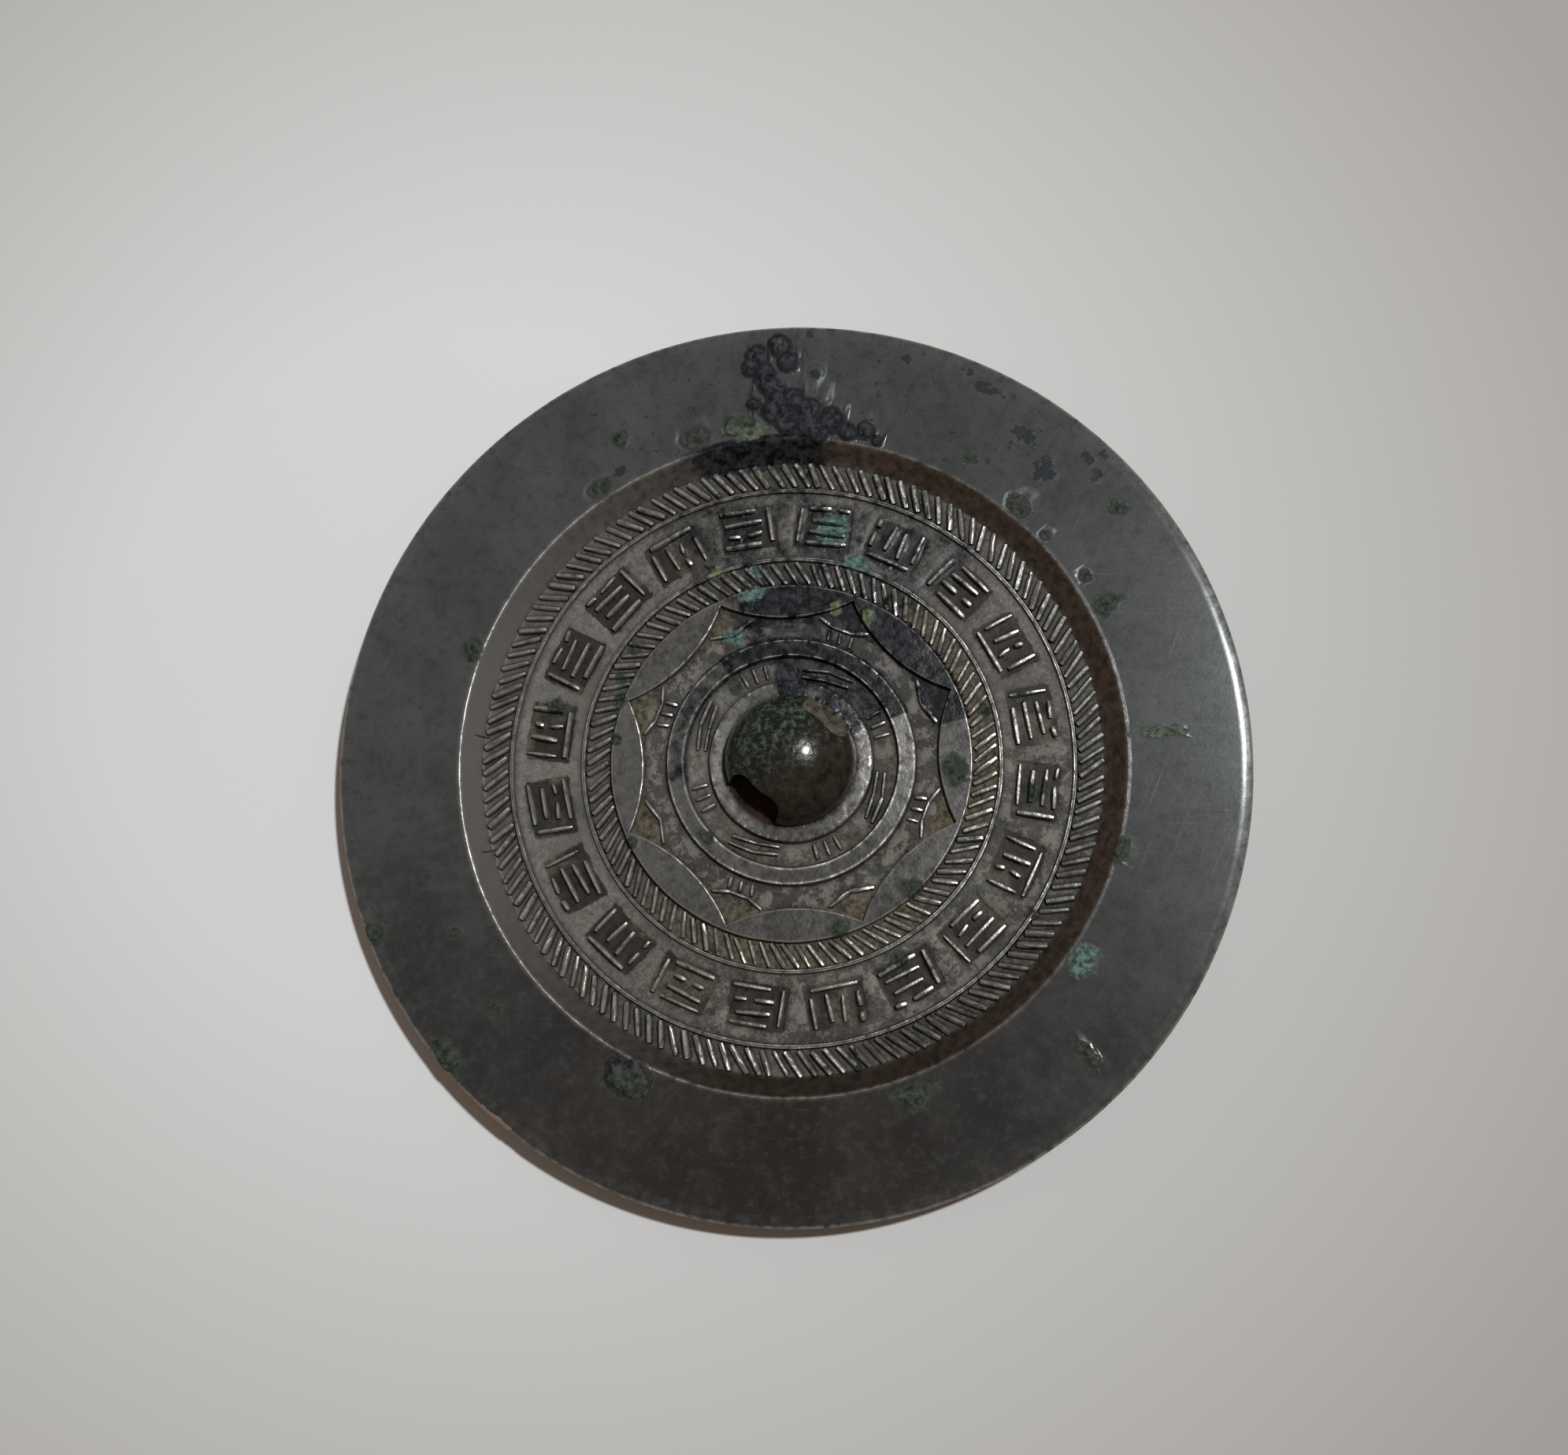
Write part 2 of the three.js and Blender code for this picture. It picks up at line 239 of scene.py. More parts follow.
def disc():
    """The disc with its slope, round lines and rings, as one closed skin."""
    # Each zone's inner and outer radius, its number of rings, and the points round each
    zones = [
        (1.0, 7.0, 3, 60),
        (8.5, KNOB_RING_R - WALL, 4, 240),
        (KNOB_RING_R - WALL, KNOB_RING_R, 4, 300),
        (KNOB_RING_R + 0.25, RING_INNER_R - 0.25, 5, 300),
        (RING_INNER_R, RING_INNER_R + WALL, 4, 360),
        (RING_INNER_R + WALL + 0.3, RING_OUTER_R - WALL - 0.3, 3, 300),
        (RING_OUTER_R - WALL, RING_OUTER_R, 4, 360),
        (RING_OUTER_R + 0.4, ARC_BAND_R - 0.4, 9, 360),
        (ARC_BAND_R, INNER_LINE_R - LINE_WIDTH / 2, 5, 420),
        (INNER_LINE_R - LINE_CREST, INNER_LINE_R + LINE_CREST, 6, 480),
        (INNER_LINE_R + LINE_WIDTH / 2, OUTER_LINE_R - LINE_WIDTH / 2, 11, 480),
        (OUTER_LINE_R - LINE_CREST, OUTER_LINE_R + LINE_CREST, 6, 540),
        (OUTER_LINE_R + LINE_WIDTH / 2, FIELD_R - 0.05, 5, 480),
        (FIELD_R + 0.15, RIM_INNER_R - 0.45, 6, 480),
        (RIM_INNER_R - 0.3, RIM_INNER_R + 0.05, 4, 540),
        (RIM_INNER_R + 0.4, RIM_R - 1.6, 6, 480),
        (RIM_R - 1.4, RIM_R - EDGE_ROUND - 0.1, 4, 540),
    ]
    rings = [(0.0, float(top_height(0.0)), 1)]
    for low, high, steps, columns in zones:
        for radius in np.linspace(low, high, steps):
            rings.append((radius, float(top_height(radius)), columns))
    for step in range(5):
        angle = math.pi / 2 * step / 4
        radius = RIM_R - EDGE_ROUND * (1 - math.sin(angle))
        height = RIM_TOP - RIM_DIP - (EDGE_ROUND - RIM_DIP) * (1 - math.cos(angle))
        rings.append((radius, height, 540))
    low_edge = FACE_RISE + EDGE_ROUND
    for height in np.linspace(RIM_TOP - EDGE_ROUND, low_edge, 4)[1:]:
        rings.append((RIM_R, height, 480))
    for step in range(1, 4):
        angle = math.pi / 2 * step / 3
        radius = RIM_R - EDGE_ROUND * (1 - math.cos(angle))
        rings.append((radius, low_edge - EDGE_ROUND * math.sin(angle), 420))
    for radius in np.linspace(RIM_R - 2.5, REST_SPOT_R, 6):
        rings.append((radius, float(face_height(radius)), 200))
    rings.append((6.0, 0.0, 60))
    rings.append((0.0, 0.0, 1))
    points, faces = skin(rings)
    return new_object("disc", points, faces)


def arc_band():
    """The band of linked arcs: round outside, with lobes inside that meet in cusps."""
    columns = 48 * LOBES
    half = math.pi / LOBES
    bulge = CUSP_R * math.cos(half) - LOBE_R
    half_chord = CUSP_R * math.sin(half)
    lobe_round = (half_chord**2 + bulge**2) / (2 * bulge)
    centre = LOBE_R + lobe_round
    turn = 2 * np.pi * np.arange(columns) / columns
    off = (turn + half) % (2 * half) - half
    inner = centre * np.cos(off) - np.sqrt(lobe_round**2 - (centre * np.sin(off)) ** 2)
    width = ARC_BAND_R - inner
    angle = turn + math.radians(LOBE_TURN)
    # The rounded edge: how far in from the side, and how high
    edge = [
        (0.0, BURIED),
        (0.0, FIELD_TOP),
        (0.05, BAND_TOP - 0.22),
        (0.12, BAND_TOP - 0.05),
        (0.2, BAND_TOP),
        (0.3, BAND_TOP),
    ]
    rings = [(inner + offset, level) for offset, level in edge]
    rings += [(inner + 0.3 + (width - 0.6) * share, BAND_TOP) for share in (0.25, 0.5, 0.75)]
    rings += [(ARC_BAND_R - offset + 0 * inner, level) for offset, level in edge[::-1]]
    points = [ring_points(radius, angle, level) for radius, level in rings]
    faces = []
    for index in range(len(rings)):
        after = (index + 1) % len(rings)
        faces.append(zip_rings(index * columns, columns, after * columns, columns))
    return new_object("arc_band", np.concatenate(points), np.concatenate(faces))


def knob():
    """The knob's dome, a little fuller than an ellipse."""
    rise = KNOB_TOP - BAND_TOP
    rings = [(0.0, KNOB_TOP, 1)]
    steps = 18
    for step in range(1, steps + 1):
        angle = math.pi / 2 * step / steps
        radius = KNOB_R * math.sin(angle) ** KNOB_FULLNESS
        columns = 160 if radius > 3 else 80
        rings.append((radius, BAND_TOP + rise * math.cos(angle), columns))
    rings.append((KNOB_R + 0.12, BAND_TOP - 0.3, 160))
    rings.append((KNOB_R, BURIED, 160))
    rings.append((0.0, BURIED, 1))
    points, faces = skin(rings)
    return new_object("knob", points, faces)


def hole_cutter():
    """The cord hole: an arch right through the knob, flared a little at both mouths."""
    side = HOLE_WIDTH / 2
    spring = HOLE_HEIGHT - HOLE_CORNER
    section = [(-side, 0.0), (side, 0.0)]
    turns = [math.pi / 2 * step / HOLE_STEPS for step in range(HOLE_STEPS + 1)]
    for angle in turns:
        level = spring + HOLE_CORNER * math.sin(angle)
        section.append((side - HOLE_CORNER * (1 - math.cos(angle)), level))
    for angle in turns:
        level = spring + HOLE_CORNER * math.cos(angle)
        section.append((-side + HOLE_CORNER * (1 - math.sin(angle)), level))
    section = np.array(section)
    points = []
    faces = []
    near_half = [9.4, 8.0, 6.6, 5.4, 4.0]
    stations = near_half + [0.0] + [-x for x in near_half[::-1]]
    for x in stations:
        flare = 1 + FLARE * max(0.0, abs(x) - FLARE_START)
        y = section[:, 0] * flare
        sill = SILL_RISE * min(1.0, max(0.0, (abs(x) - SILL_START) / SILL_WIDTH))
        z = BAND_TOP - HOLE_SINK + sill + section[:, 1] * flare
        points.append(np.stack([np.full(len(section), x), y, z], axis=1))
    count = len(section)
    for index in range(len(stations) - 1):
        faces.append(zip_rings(index * count, count, (index + 1) * count, count))
    last = (len(stations) - 1) * count
    fan = np.arange(1, count - 1)
    faces.append(np.stack([0 * fan, fan, fan + 1], axis=1))
    faces.append(np.stack([last + 0 * fan, last + fan + 1, last + fan], axis=1))
    return new_object("hole_cutter", np.concatenate(points), np.concatenate(faces))


# The strokes: each is a line between two places in the field, made solid by the node tree below

def comb_lines(inner, outer, count, seed):
    """Slanting strokes all round, each a little off its place."""
    chance = np.random.default_rng(seed)
    lines = []
    lean = math.degrees(STROKE_LEAN * (outer - inner) / ((inner + outer) / 2))
    for index in range(count):
        middle = 360 * index / count + chance.normal(0, STROKE_UNEVEN)
        tilt = lean * (1 + chance.normal(0, STROKE_UNEVEN))
        low = inner + abs(chance.normal(0, STROKE_UNEVEN))
        high = outer - abs(chance.normal(0, STROKE_UNEVEN))
        lines.append((polar(low, middle - tilt), polar(high, middle + tilt)))
    return lines


def block_lines(index):
    """One block of the inscription band: rows of plain strokes that spell nothing."""
    mirrored = 1 if index % 2 == 0 else -1
    sideways = index % 3 == 1
    turn = math.radians(BLOCK_TURN + 360 * index / BLOCKS)
    cos, sin = math.cos(turn), math.sin(turn)

    def at(across, out):
        if sideways:
            across, out = out, across
        radius = (BLOCK_LOW + BLOCK_HIGH + mirrored * out * (BLOCK_HIGH - BLOCK_LOW)) / 2
        side = mirrored * across * BLOCK_WIDTH / 2
        return np.array([radius * cos - side * sin, radius * sin + side * cos])

    marks = [(at(0.88, -0.9), at(0.84, 0.8))]
    for row in range(BLOCK_ROWS):
        out = -0.88 + 1.72 * row / (BLOCK_ROWS - 1)
        start = -0.94 + 0.1 * ((index * 3 + row) % 3)
        end = 0.4 + 0.08 * ((index + row * 2) % 3)
        slant = 0.07 * ((index + row) % 3 - 1)
        if (index + row) % 4 == 1:
            marks.append((at(start, out), at(start + 0.4, out + slant)))
            start += 0.72
        marks.append((at(start, out + slant), at(end, out)))
    return marks


def bent_lines(places, turn):
    """A bent stroke through (radius, degrees) places, as one line for each stretch."""
    points = [polar(radius, turn + degrees) for radius, degrees in places]
    return list(zip(points[:-1], points[1:]))


def cusp_triple(turn):
    """The small arch between two lobes, and its three short legs."""
    crown = LOBE_R - 0.4
    arch = bent_lines([(LOBE_R + 0.5, -10), (crown, -4), (crown, 4), (LOBE_R + 0.5, 10)], turn)
    low = RING_OUTER_R + 0.35
    legs = [(polar(low, turn + d - 0.8), polar(crown - 0.4, turn + d)) for d in (-5, 0, 5)]
    return arch, legs


def cusp_chevron(turn):
    """The small roof between the next two lobes."""
    ends = LOBE_R + 0.5
    return bent_lines([(ends, -9), (LOBE_R - 0.5, 0), (ends, 9)], turn)


def knob_field_marks(turn):
    """Three short strokes and two bent ones between the knob's ring and the inner ring."""
    low = KNOB_RING_R + 0.45
    high = RING_INNER_R - 0.45
    middle = (low + high) / 2
    triple = [(polar(low, turn - 27 + d), polar(high, turn - 27 + d)) for d in (-7, 0, 7)]
    pair = bent_lines([(high, -15), (middle + 0.5, 0), (middle, 15)], turn + 18)
    pair += bent_lines([(middle, -15), (low + 0.25, 0), (low, 15)], turn + 18)
    return triple, pair


class Nodes:
    """A small helper that builds a node tree. Inputs take values or other nodes' outputs."""

    def __init__(self, tree):
        self.tree = tree

    def add(self, kind, inputs=None, **settings):
        node = self.tree.nodes.new(kind)
        for key, value in settings.items():
            setattr(node, key, value)
        for key, value in (inputs or {}).items():
            self.put(value, node.inputs[key])
        return node

    def out(self, kind, inputs=None, **settings):
        """The first output of a new node."""
        return self.add(kind, inputs, **settings).outputs[0]

    def put(self, value, socket):
        if hasattr(value, "is_linked"):
            self.tree.links.new(value, socket)
        elif isinstance(value, (int, float)):
            socket.default_value = value
        else:
            socket.default_value = (*value, 1)[: len(socket.default_value)]

    def sum(self, operation, a, b=0.0, clamp=False):
        return self.out("ShaderNodeMath", {0: a, 1: b}, operation=operation, use_clamp=clamp)

    def times(self, a, b, clamp=False):
        return self.sum("MULTIPLY", a, b, clamp)

    def most(self, a, b):
        return self.sum("MAXIMUM", a, b)

    def between(self, value, low, high, start=0.0, end=1.0):
        """Goes from start to end as the value goes from low to high."""
        ends = {"Value": value, "From Min": low, "From Max": high, "To Min": start, "To Max": end}
        return self.out("ShaderNodeMapRange", ends)

    def mix(self, share, a, b):
        return self.add("ShaderNodeMix", {"Factor": share, 6: a, 7: b}, data_type="RGBA").outputs[2]

    def blend(self, share, a, b):
        return self.out("ShaderNodeMix", {"Factor": share, 2: a, 3: b}, data_type="FLOAT")


def stroke_tree():
    """Turns lines into low solid strokes: named sizes, and each stroke a little different."""
    tree = bpy.data.node_groups.new("cast_strokes", "GeometryNodeTree")
    plan = tree.interface
    plan.new_socket("Lines", in_out="INPUT", socket_type="NodeSocketGeometry")
    sizes = {"Width": 0.6, "Rise": 0.4, "Uneven": 0.18, "Taper": 0.2, "Ground": FIELD_TOP}
    for name, value in sizes.items():
        plan.new_socket(name, in_out="INPUT", socket_type="NodeSocketFloat").default_value = value
    plan.new_socket("Seed", in_out="INPUT", socket_type="NodeSocketInt")
    plan.new_socket("Material", in_out="INPUT", socket_type="NodeSocketMaterial")
    plan.new_socket("Strokes", in_out="OUTPUT", socket_type="NodeSocketGeometry")

    nodes = Nodes(tree)
    entry = nodes.add("NodeGroupInput").outputs
    curve = nodes.out("GeometryNodeMeshToCurve", {0: entry["Lines"]})
    curve = nodes.out("GeometryNodeResampleCurve", {"Curve": curve, "Count": STROKE_POINTS})
    curve = nodes.out("GeometryNodeSetCurveNormal", {"Curve": curve}, mode="Z_UP")

    # Each stroke's own width, narrowed towards its two ends
    least = nodes.sum("SUBTRACT", 1.0, entry["Uneven"])
    most = nodes.sum("ADD", 1.0, entry["Uneven"])
    which = nodes.add("GeometryNodeCurveOfPoint").outputs["Curve Index"]
    chances = {2: least, 3: most, "ID": which, "Seed": entry["Seed"]}
    chance = nodes.add("FunctionNodeRandomValue", chances, data_type="FLOAT").outputs[1]
    along = nodes.add("GeometryNodeSplineParameter").outputs["Factor"]
    from_middle = nodes.sum("ABSOLUTE", nodes.sum("SUBTRACT", along, 0.5))
    near_end = nodes.sum("POWER", nodes.times(from_middle, 2.0), 6.0)
    narrowed = nodes.times(near_end, entry["Taper"])
    share = nodes.times(nodes.sum("SUBTRACT", 1.0, narrowed), chance)
    half_width = nodes.times(entry["Width"], 0.5)
    radius = nodes.times(share, half_width)
    curve = nodes.out("GeometryNodeSetCurveRadius", {"Curve": curve, "Radius": radius})

    # The section, drawn along the curve and stretched from the ground up to the rise
    circle = {"Resolution": STROKE_SIDES, "Radius": STROKE_CORNER}
    section = nodes.out("GeometryNodeCurvePrimitiveCircle", circle, mode="RADIUS")
    turn = (0, 0, math.radians(180 / STROKE_SIDES))
    section = nodes.out("GeometryNodeTransform", {"Geometry": section, "Rotation": turn})
    sweep = {"Curve": curve, "Profile Curve": section, "Fill Caps": True}
    sweep["Scale"] = nodes.out("GeometryNodeInputRadius")
    solid = nodes.out("GeometryNodeCurveToMesh", sweep)
    x, y, z = nodes.add("ShaderNodeSeparateXYZ", {0: nodes.out("GeometryNodeInputPosition")}).outputs
    stretch = nodes.sum("DIVIDE", entry["Rise"], half_width)
    height = nodes.times(nodes.sum("SUBTRACT", z, entry["Ground"]), stretch)
    height = nodes.sum("ADD", height, entry["Ground"])
    place = nodes.out("ShaderNodeCombineXYZ", {0: x, 1: y, 2: height})
    solid = nodes.out("GeometryNodeSetPosition", {"Geometry": solid, "Position": place})
    solid = nodes.out("GeometryNodeRealizeInstances", {0: solid})
    coat = {"Geometry": solid, "Material": entry["Material"]}
    nodes.add("NodeGroupOutput", {0: nodes.out("GeometryNodeSetMaterial", coat)})
    return tree


def strokes(name, lines, tree, material, width, rise, taper, seed):
    """Runs the tree on a set of lines and gives back a plain mesh object."""
    ends = [(x, y, FIELD_TOP) for line in lines for x, y in line]
    mesh = bpy.data.meshes.new(name + "_lines")
    mesh.from_pydata(ends, [(2 * i, 2 * i + 1) for i in range(len(lines))], [])
    item = scene_object(name, mesh)
    modifier = item.modifiers.new("strokes", "NODES")
    modifier.node_group = tree
    values = {"Width": width, "Rise": rise, "Taper": taper, "Seed": seed, "Material": material}
    for socket in tree.interface.items_tree:
        if socket.in_out == "INPUT" and socket.name in values:
            modifier[socket.identifier] = values[socket.name]
    return plain(item)


def plain(item):
    """Turns an object with modifiers into a plain mesh object."""
    graph = bpy.context.evaluated_depsgraph_get()
    mesh = bpy.data.meshes.new_from_object(item.evaluated_get(graph))
    item.modifiers.clear()
    item.data = mesh
    return item


def combine(body, other, operation):
    """Joins another solid to the body, or cuts it away, and deletes that other solid."""
    modifier = body.modifiers.new("join", "BOOLEAN")
    modifier.operation = operation
    modifier.solver = "MANIFOLD"
    modifier.object = other
    plain(body)
    bpy.data.objects.remove(other)


def read_mesh(item):
    """Vertices and triangles of a mesh as arrays."""
    work = bmesh.new()
    work.from_mesh(item.data)
    bmesh.ops.triangulate(work, faces=work.faces)
    mesh = bpy.data.meshes.new("triangles")
    work.to_mesh(mesh)
    work.free()
    points = np.empty(len(mesh.vertices) * 3)
    mesh.vertices.foreach_get("co", points)
    faces = np.empty(len(mesh.polygons) * 3, dtype=np.int64)
    mesh.polygons.foreach_get("vertices", faces)
    return points.reshape(-1, 3), faces.reshape(-1, 3)


# Corrosion, listed patch by patch: the angle in the picture in degrees, the radius, the half sizes along
# and across the ring, and the rise or depth, all in millimetres

Patch = namedtuple("Patch", "kind angle radius along across rise")

# The lumps of the big dark crust at the picture's upper rim: angle, radius and half width
CRUST_LUMPS = [
    (95.2, 51.3, 1.4), (96.3, 49.8, 1.1), (94.3, 48.8, 1.4), (92.1, 52.5, 1.4), (91.1, 50.3, 1.3),
    (93.9, 47.3, 1.3), (92.5, 45.7, 1.5), (90.1, 45.4, 1.4), (87.6, 44.2, 1.4), (93.2, 43.8, 1.6),
    (90.9, 42.4, 1.6), (87.8, 42.4, 1.5), (83.7, 42.8, 1.5), (80.7, 41.6, 1.1), (77.8, 42.1, 1.1),
    (96.4, 45.0, 0.8), (100.4, 42.4, 0.9), (85.8, 41.1, 1.2), (75.4, 41.1, 0.7),
]

CRUST_SPREAD = 1.13
CRUST_RISE = 0.5

SPOTS = [
    # Small bare lumps beside the crust
    ("lump", 86.9, 48.9, 1.2, 1.2, 0.3),
    ("lump", 85.2, 45.6, 0.9, 0.9, 0.3),
    ("dark", 87.2, 48.6, 0.9, 1.0, 0.0),
    ("pale", 92.0, 52.6, 0.4, 0.9, 0.1),
    # Round blisters and green spots along the rim's inner edge
    ("blister", 106.5, 42.2, 2.4, 1.7, 0.35),
    ("pale", 98.5, 41.9, 3.0, 1.5, 0.15),
    ("green", 98.0, 42.8, 1.5, 0.8, 0.1),
    ("green", 118.0, 45.8, 1.4, 1.3, 0.2),
    ("blister", 125.0, 41.7, 2.0, 1.3, 0.3),
    ("green", 125.5, 41.9, 1.5, 0.9, 0.1),
    ("dark", 121.0, 42.2, 1.0, 0.8, 0.05),
    ("green", 160.8, 41.4, 1.8, 1.4, 0.2),
    ("blister", 48.5, 41.9, 1.9, 1.5, 0.35),
    ("blister", 41.8, 41.4, 0.9, 0.8, 0.25),
    ("blister", 32.3, 42.1, 1.0, 0.9, 0.3),
    ("green", 26.5, 42.4, 1.4, 2.4, 0.1),
    ("crack", 4.2, 44.2, 0.22, 3.6, -0.16),
    ("pale", 4.2, 44.0, 0.75, 3.7, 0.1),
    ("green", 344.5, 40.8, 1.9, 1.2, 0.1),
    ("teal", 325.5, 42.0, 2.4, 1.7, 0.2),
    ("green", 315.2, 49.6, 0.9, 2.1, 0.2),
    ("green", 290.5, 42.3, 2.7, 1.4, 0.2),
    ("crust", 244.0, 42.2, 3.0, 2.3, 0.4),
    ("green", 244.5, 42.4, 2.8, 2.3, 0.2),
    ("green", 222.0, 53.9, 2.4, 1.3, 0.2),
    ("green", 203.5, 54.0, 1.5, 1.2, 0.15),
    ("blister", 221.2, 45.9, 1.0, 1.0, 0.15),
    ("blister", 208.0, 45.0, 0.7, 0.7, 0.1),
    # Dark bloom on the rim's far right
    ("dark", 49.5, 47.2, 2.3, 2.0, 0.08),
    ("dark", 43.5, 51.3, 0.9, 0.8, 0.05),
    ("dark", 46.0, 52.0, 1.0, 0.8, 0.05),
    ("dark", 45.0, 53.6, 1.1, 0.7, 0.05),
    ("dark", 62.5, 52.3, 2.6, 0.9, 0.05),
    ("dark", 66.0, 53.2, 1.3, 0.8, 0.05),
    ("dark", 59.0, 43.6, 1.0, 0.7, 0.05),
    ("dark", 74.5, 52.4, 0.9, 0.7, 0.05),
    ("dark", 88.0, 53.9, 0.8, 0.6, 0.05),
    ("dark", 55.0, 49.5, 2.2, 1.5, 0.0),
    ("green", 38.0, 50.3, 1.5, 1.2, 0.0),
    # Spots in the relief
    ("green", 286.5, 21.2, 1.5, 1.4, 0.25),
    ("green", 314.0, 21.2, 1.6, 1.4, 0.25),
    ("green", 208.0, 21.6, 1.0, 0.9, 0.2),
    ("dark", 355.5, 20.3, 2.5, 2.1, 0.2),
    ("green", 356.0, 20.0, 2.3, 1.9, 0.1),
    ("green", 223.5, 13.6, 1.4, 1.0, 0.25),
    ("green", 127.5, 11.8, 1.2, 1.2, 0.1),
    ("green", 15.0, 24.3, 1.3, 0.9, 0.1),
    ("green", 16.0, 29.0, 1.0, 1.0, 0.05),
    ("green", 299.0, 27.4, 1.2, 1.5, 0.1),
    ("green", 167.0, 29.5, 1.5, 1.7, 0.05),
    ("green", 353.0, 29.8, 1.6, 1.6, 0.05),
    ("teal", 80.5, 29.6, 2.0, 2.4, 0.1),
    ("teal", 103.0, 21.5, 1.9, 1.0, 0.1),
    ("teal", 100.5, 24.3, 1.0, 0.8, 0.1),
    ("teal", 114.7, 17.3, 1.6, 1.2, 0.15),
    ("teal", 71.5, 26.0, 2.2, 1.1, 0.1),
    ("lime", 62.5, 20.0, 0.8, 1.4, 0.1),
    ("lime", 74.5, 19.8, 0.9, 0.8, 0.1),
    ("green", 144.0, 24.0, 1.0, 0.9, 0.05),
    ("green", 154.0, 23.4, 0.9, 0.8, 0.05),
    ("green", 173.5, 21.3, 0.9, 0.9, 0.05),
    ("green", 160.0, 22.2, 1.4, 1.0, 0.05),
    ("green", 60.0, 43.4, 0.8, 0.6, 0.05),
    ("lime", 112.0, 25.5, 1.2, 0.8, 0.0),
    # Flaws of the casting
    ("crack", 283.0, 37.0, 0.2, 2.2, 0.35),
    ("crack", 175.5, 38.2, 0.12, 1.2, -0.2),
    ("crack", 197.0, 38.2, 0.12, 1.2, -0.2),
    ("nick", 327.5, 34.2, 0.5, 0.5, -0.35),
    ("nick", 235.0, 54.7, 1.3, 0.6, -0.25),
    ("bare", 231.0, 54.8, 5.0, 0.35, 0.0),
]

PATCHES = [
    Patch("crust", angle, radius, half * CRUST_SPREAD, half * CRUST_SPREAD, CRUST_RISE)
    for angle, radius, half in CRUST_LUMPS
]
PATCHES += [Patch(*spot) for spot in SPOTS]

# Kinds of patch with a finish of their own, and those that stand out from the metal with a firm outline
PATCH_FINISHES = ("crust", "blister", "lump", "green", "pale", "teal", "lime", "dark", "bare", "crack")
RAISED = ("crust", "blister", "lump")

# Stain, soil, grime, pits, scratches and dull parts, as wide areas: the picture angles where each
# starts and ends, its inner and outer radius, its strength, and the degrees that its ends fade over
AREAS = {
    "stain": [
        (50, 118, 22.0, 34.3, 0.62, 8),
        (62, 100, 34.3, 37.6, 0.55, 8),
        (14, 106, 17.5, 22.3, 1.0, 1),
        (106, 155, 17.5, 22.3, 0.5, 8),
        (66, 112, 15.3, 22.3, 0.66, 14),
        (76, 106, 17.5, 22.3, 1.0, 10),
        (24, 125, 12.6, 15.5, 1.0, 2),
        (125, 190, 12.6, 15.5, 0.64, 10),
        (25, 100, 8.0, 12.6, 0.74, 8),
        (100, 150, 8.0, 10.2, 0.5, 10),
        (88, 104, 37.4, 40.8, 1.0, 11),
    ],
    "soil": [
        (225, 312, 22.0, 25.0, 0.9, 4),
        (-20, 60, 22.0, 25.0, 0.9, 4),
        (60, 225, 22.0, 25.0, 0.5, 4),
        (225, 320, 34.6, 37.6, 0.55, 4),
        (-20, 30, 34.6, 37.6, 0.5, 4),
        (30, 225, 34.6, 37.6, 0.35, 4),
        (120, 330, 15.5, 21.0, 0.45, 4),
        (0, 360, 18.3, 21.2, 0.78, 4),
        (0, 360, 10.4, 12.8, 0.55, 4),
    ],
    "grime": [
        (0, 360, 15.3, 21.3, 0.62, 1),
        (200, 420, 10.3, 12.9, 0.5, 14),
        (255, 362, 25.8, 34.0, 0.5, 14),
        (295, 362, 34.6, 37.6, 0.7, 12),
    ],
    "speckled": [
        (55, 114, 40.5, 54.5, 1.0, 12),
        (190, 260, 40.2, 43.0, 0.8, 12),
    ],
    "scuffed": [
        (-12, 42, 41.5, 54.0, 1.0, 20),
        (186, 198, 43.0, 47.5, 0.8, 6),
        (214, 236, 41.5, 44.5, 0.5, 6),
        (262, 272, 42.0, 47.5, 0.5, 6),
        (128, 136, 46.5, 54.0, 0.5, 6),
    ],
    "dull": [
        (286, 386, 34.5, 38.0, 0.7, 14),
        (140, 225, 34.5, 38.0, 0.1, 14),
        (140, 225, 22.2, 25.2, 0.35, 14),
        (0, 360, 10.4, 12.7, 0.45, 1),
    ],
}


def picture_polar(points):
    """Angle in the picture, in degrees, and radius of each point."""
    angle = np.degrees(np.arctan2(points[:, 1], points[:, 0])) - PICTURE_TURN
    return angle % 360, np.hypot(points[:, 0], points[:, 1])


def patch_distance(patch, angle, radius):
    """1 on the patch's outline, less inside it."""
    off = (angle - patch.angle + 180) % 360 - 180
    along = np.radians(off) * patch.radius / patch.along
    across = (radius - patch.radius) / patch.across
    return np.hypot(along, across)


def area_share(name, angle, radius):
    """The strongest of the areas of a name at each point."""
    share = np.zeros(len(angle))
    for start, end, inner, outer, strength, fade in AREAS[name]:
        off = np.abs((angle - (start + end) / 2 + 180) % 360 - 180)
        inside = np.clip(((end - start) / 2 - off) / fade + 1, 0, 1)
        across = np.clip((radius - inner) / 0.3 + 1, 0, 1) * np.clip((outer - radius) / 0.3 + 1, 0, 1)
        share = np.maximum(share, strength * inside * across)
    return share


def grain(points, size, octaves=3):
    """Smooth random numbers between about -1 and 1, with bumps of a size in millimetres."""
    scaled = points / size
    return np.array([noise.fractal(Vector(point), 1.0, 2.0, octaves) for point in scaled.tolist()])


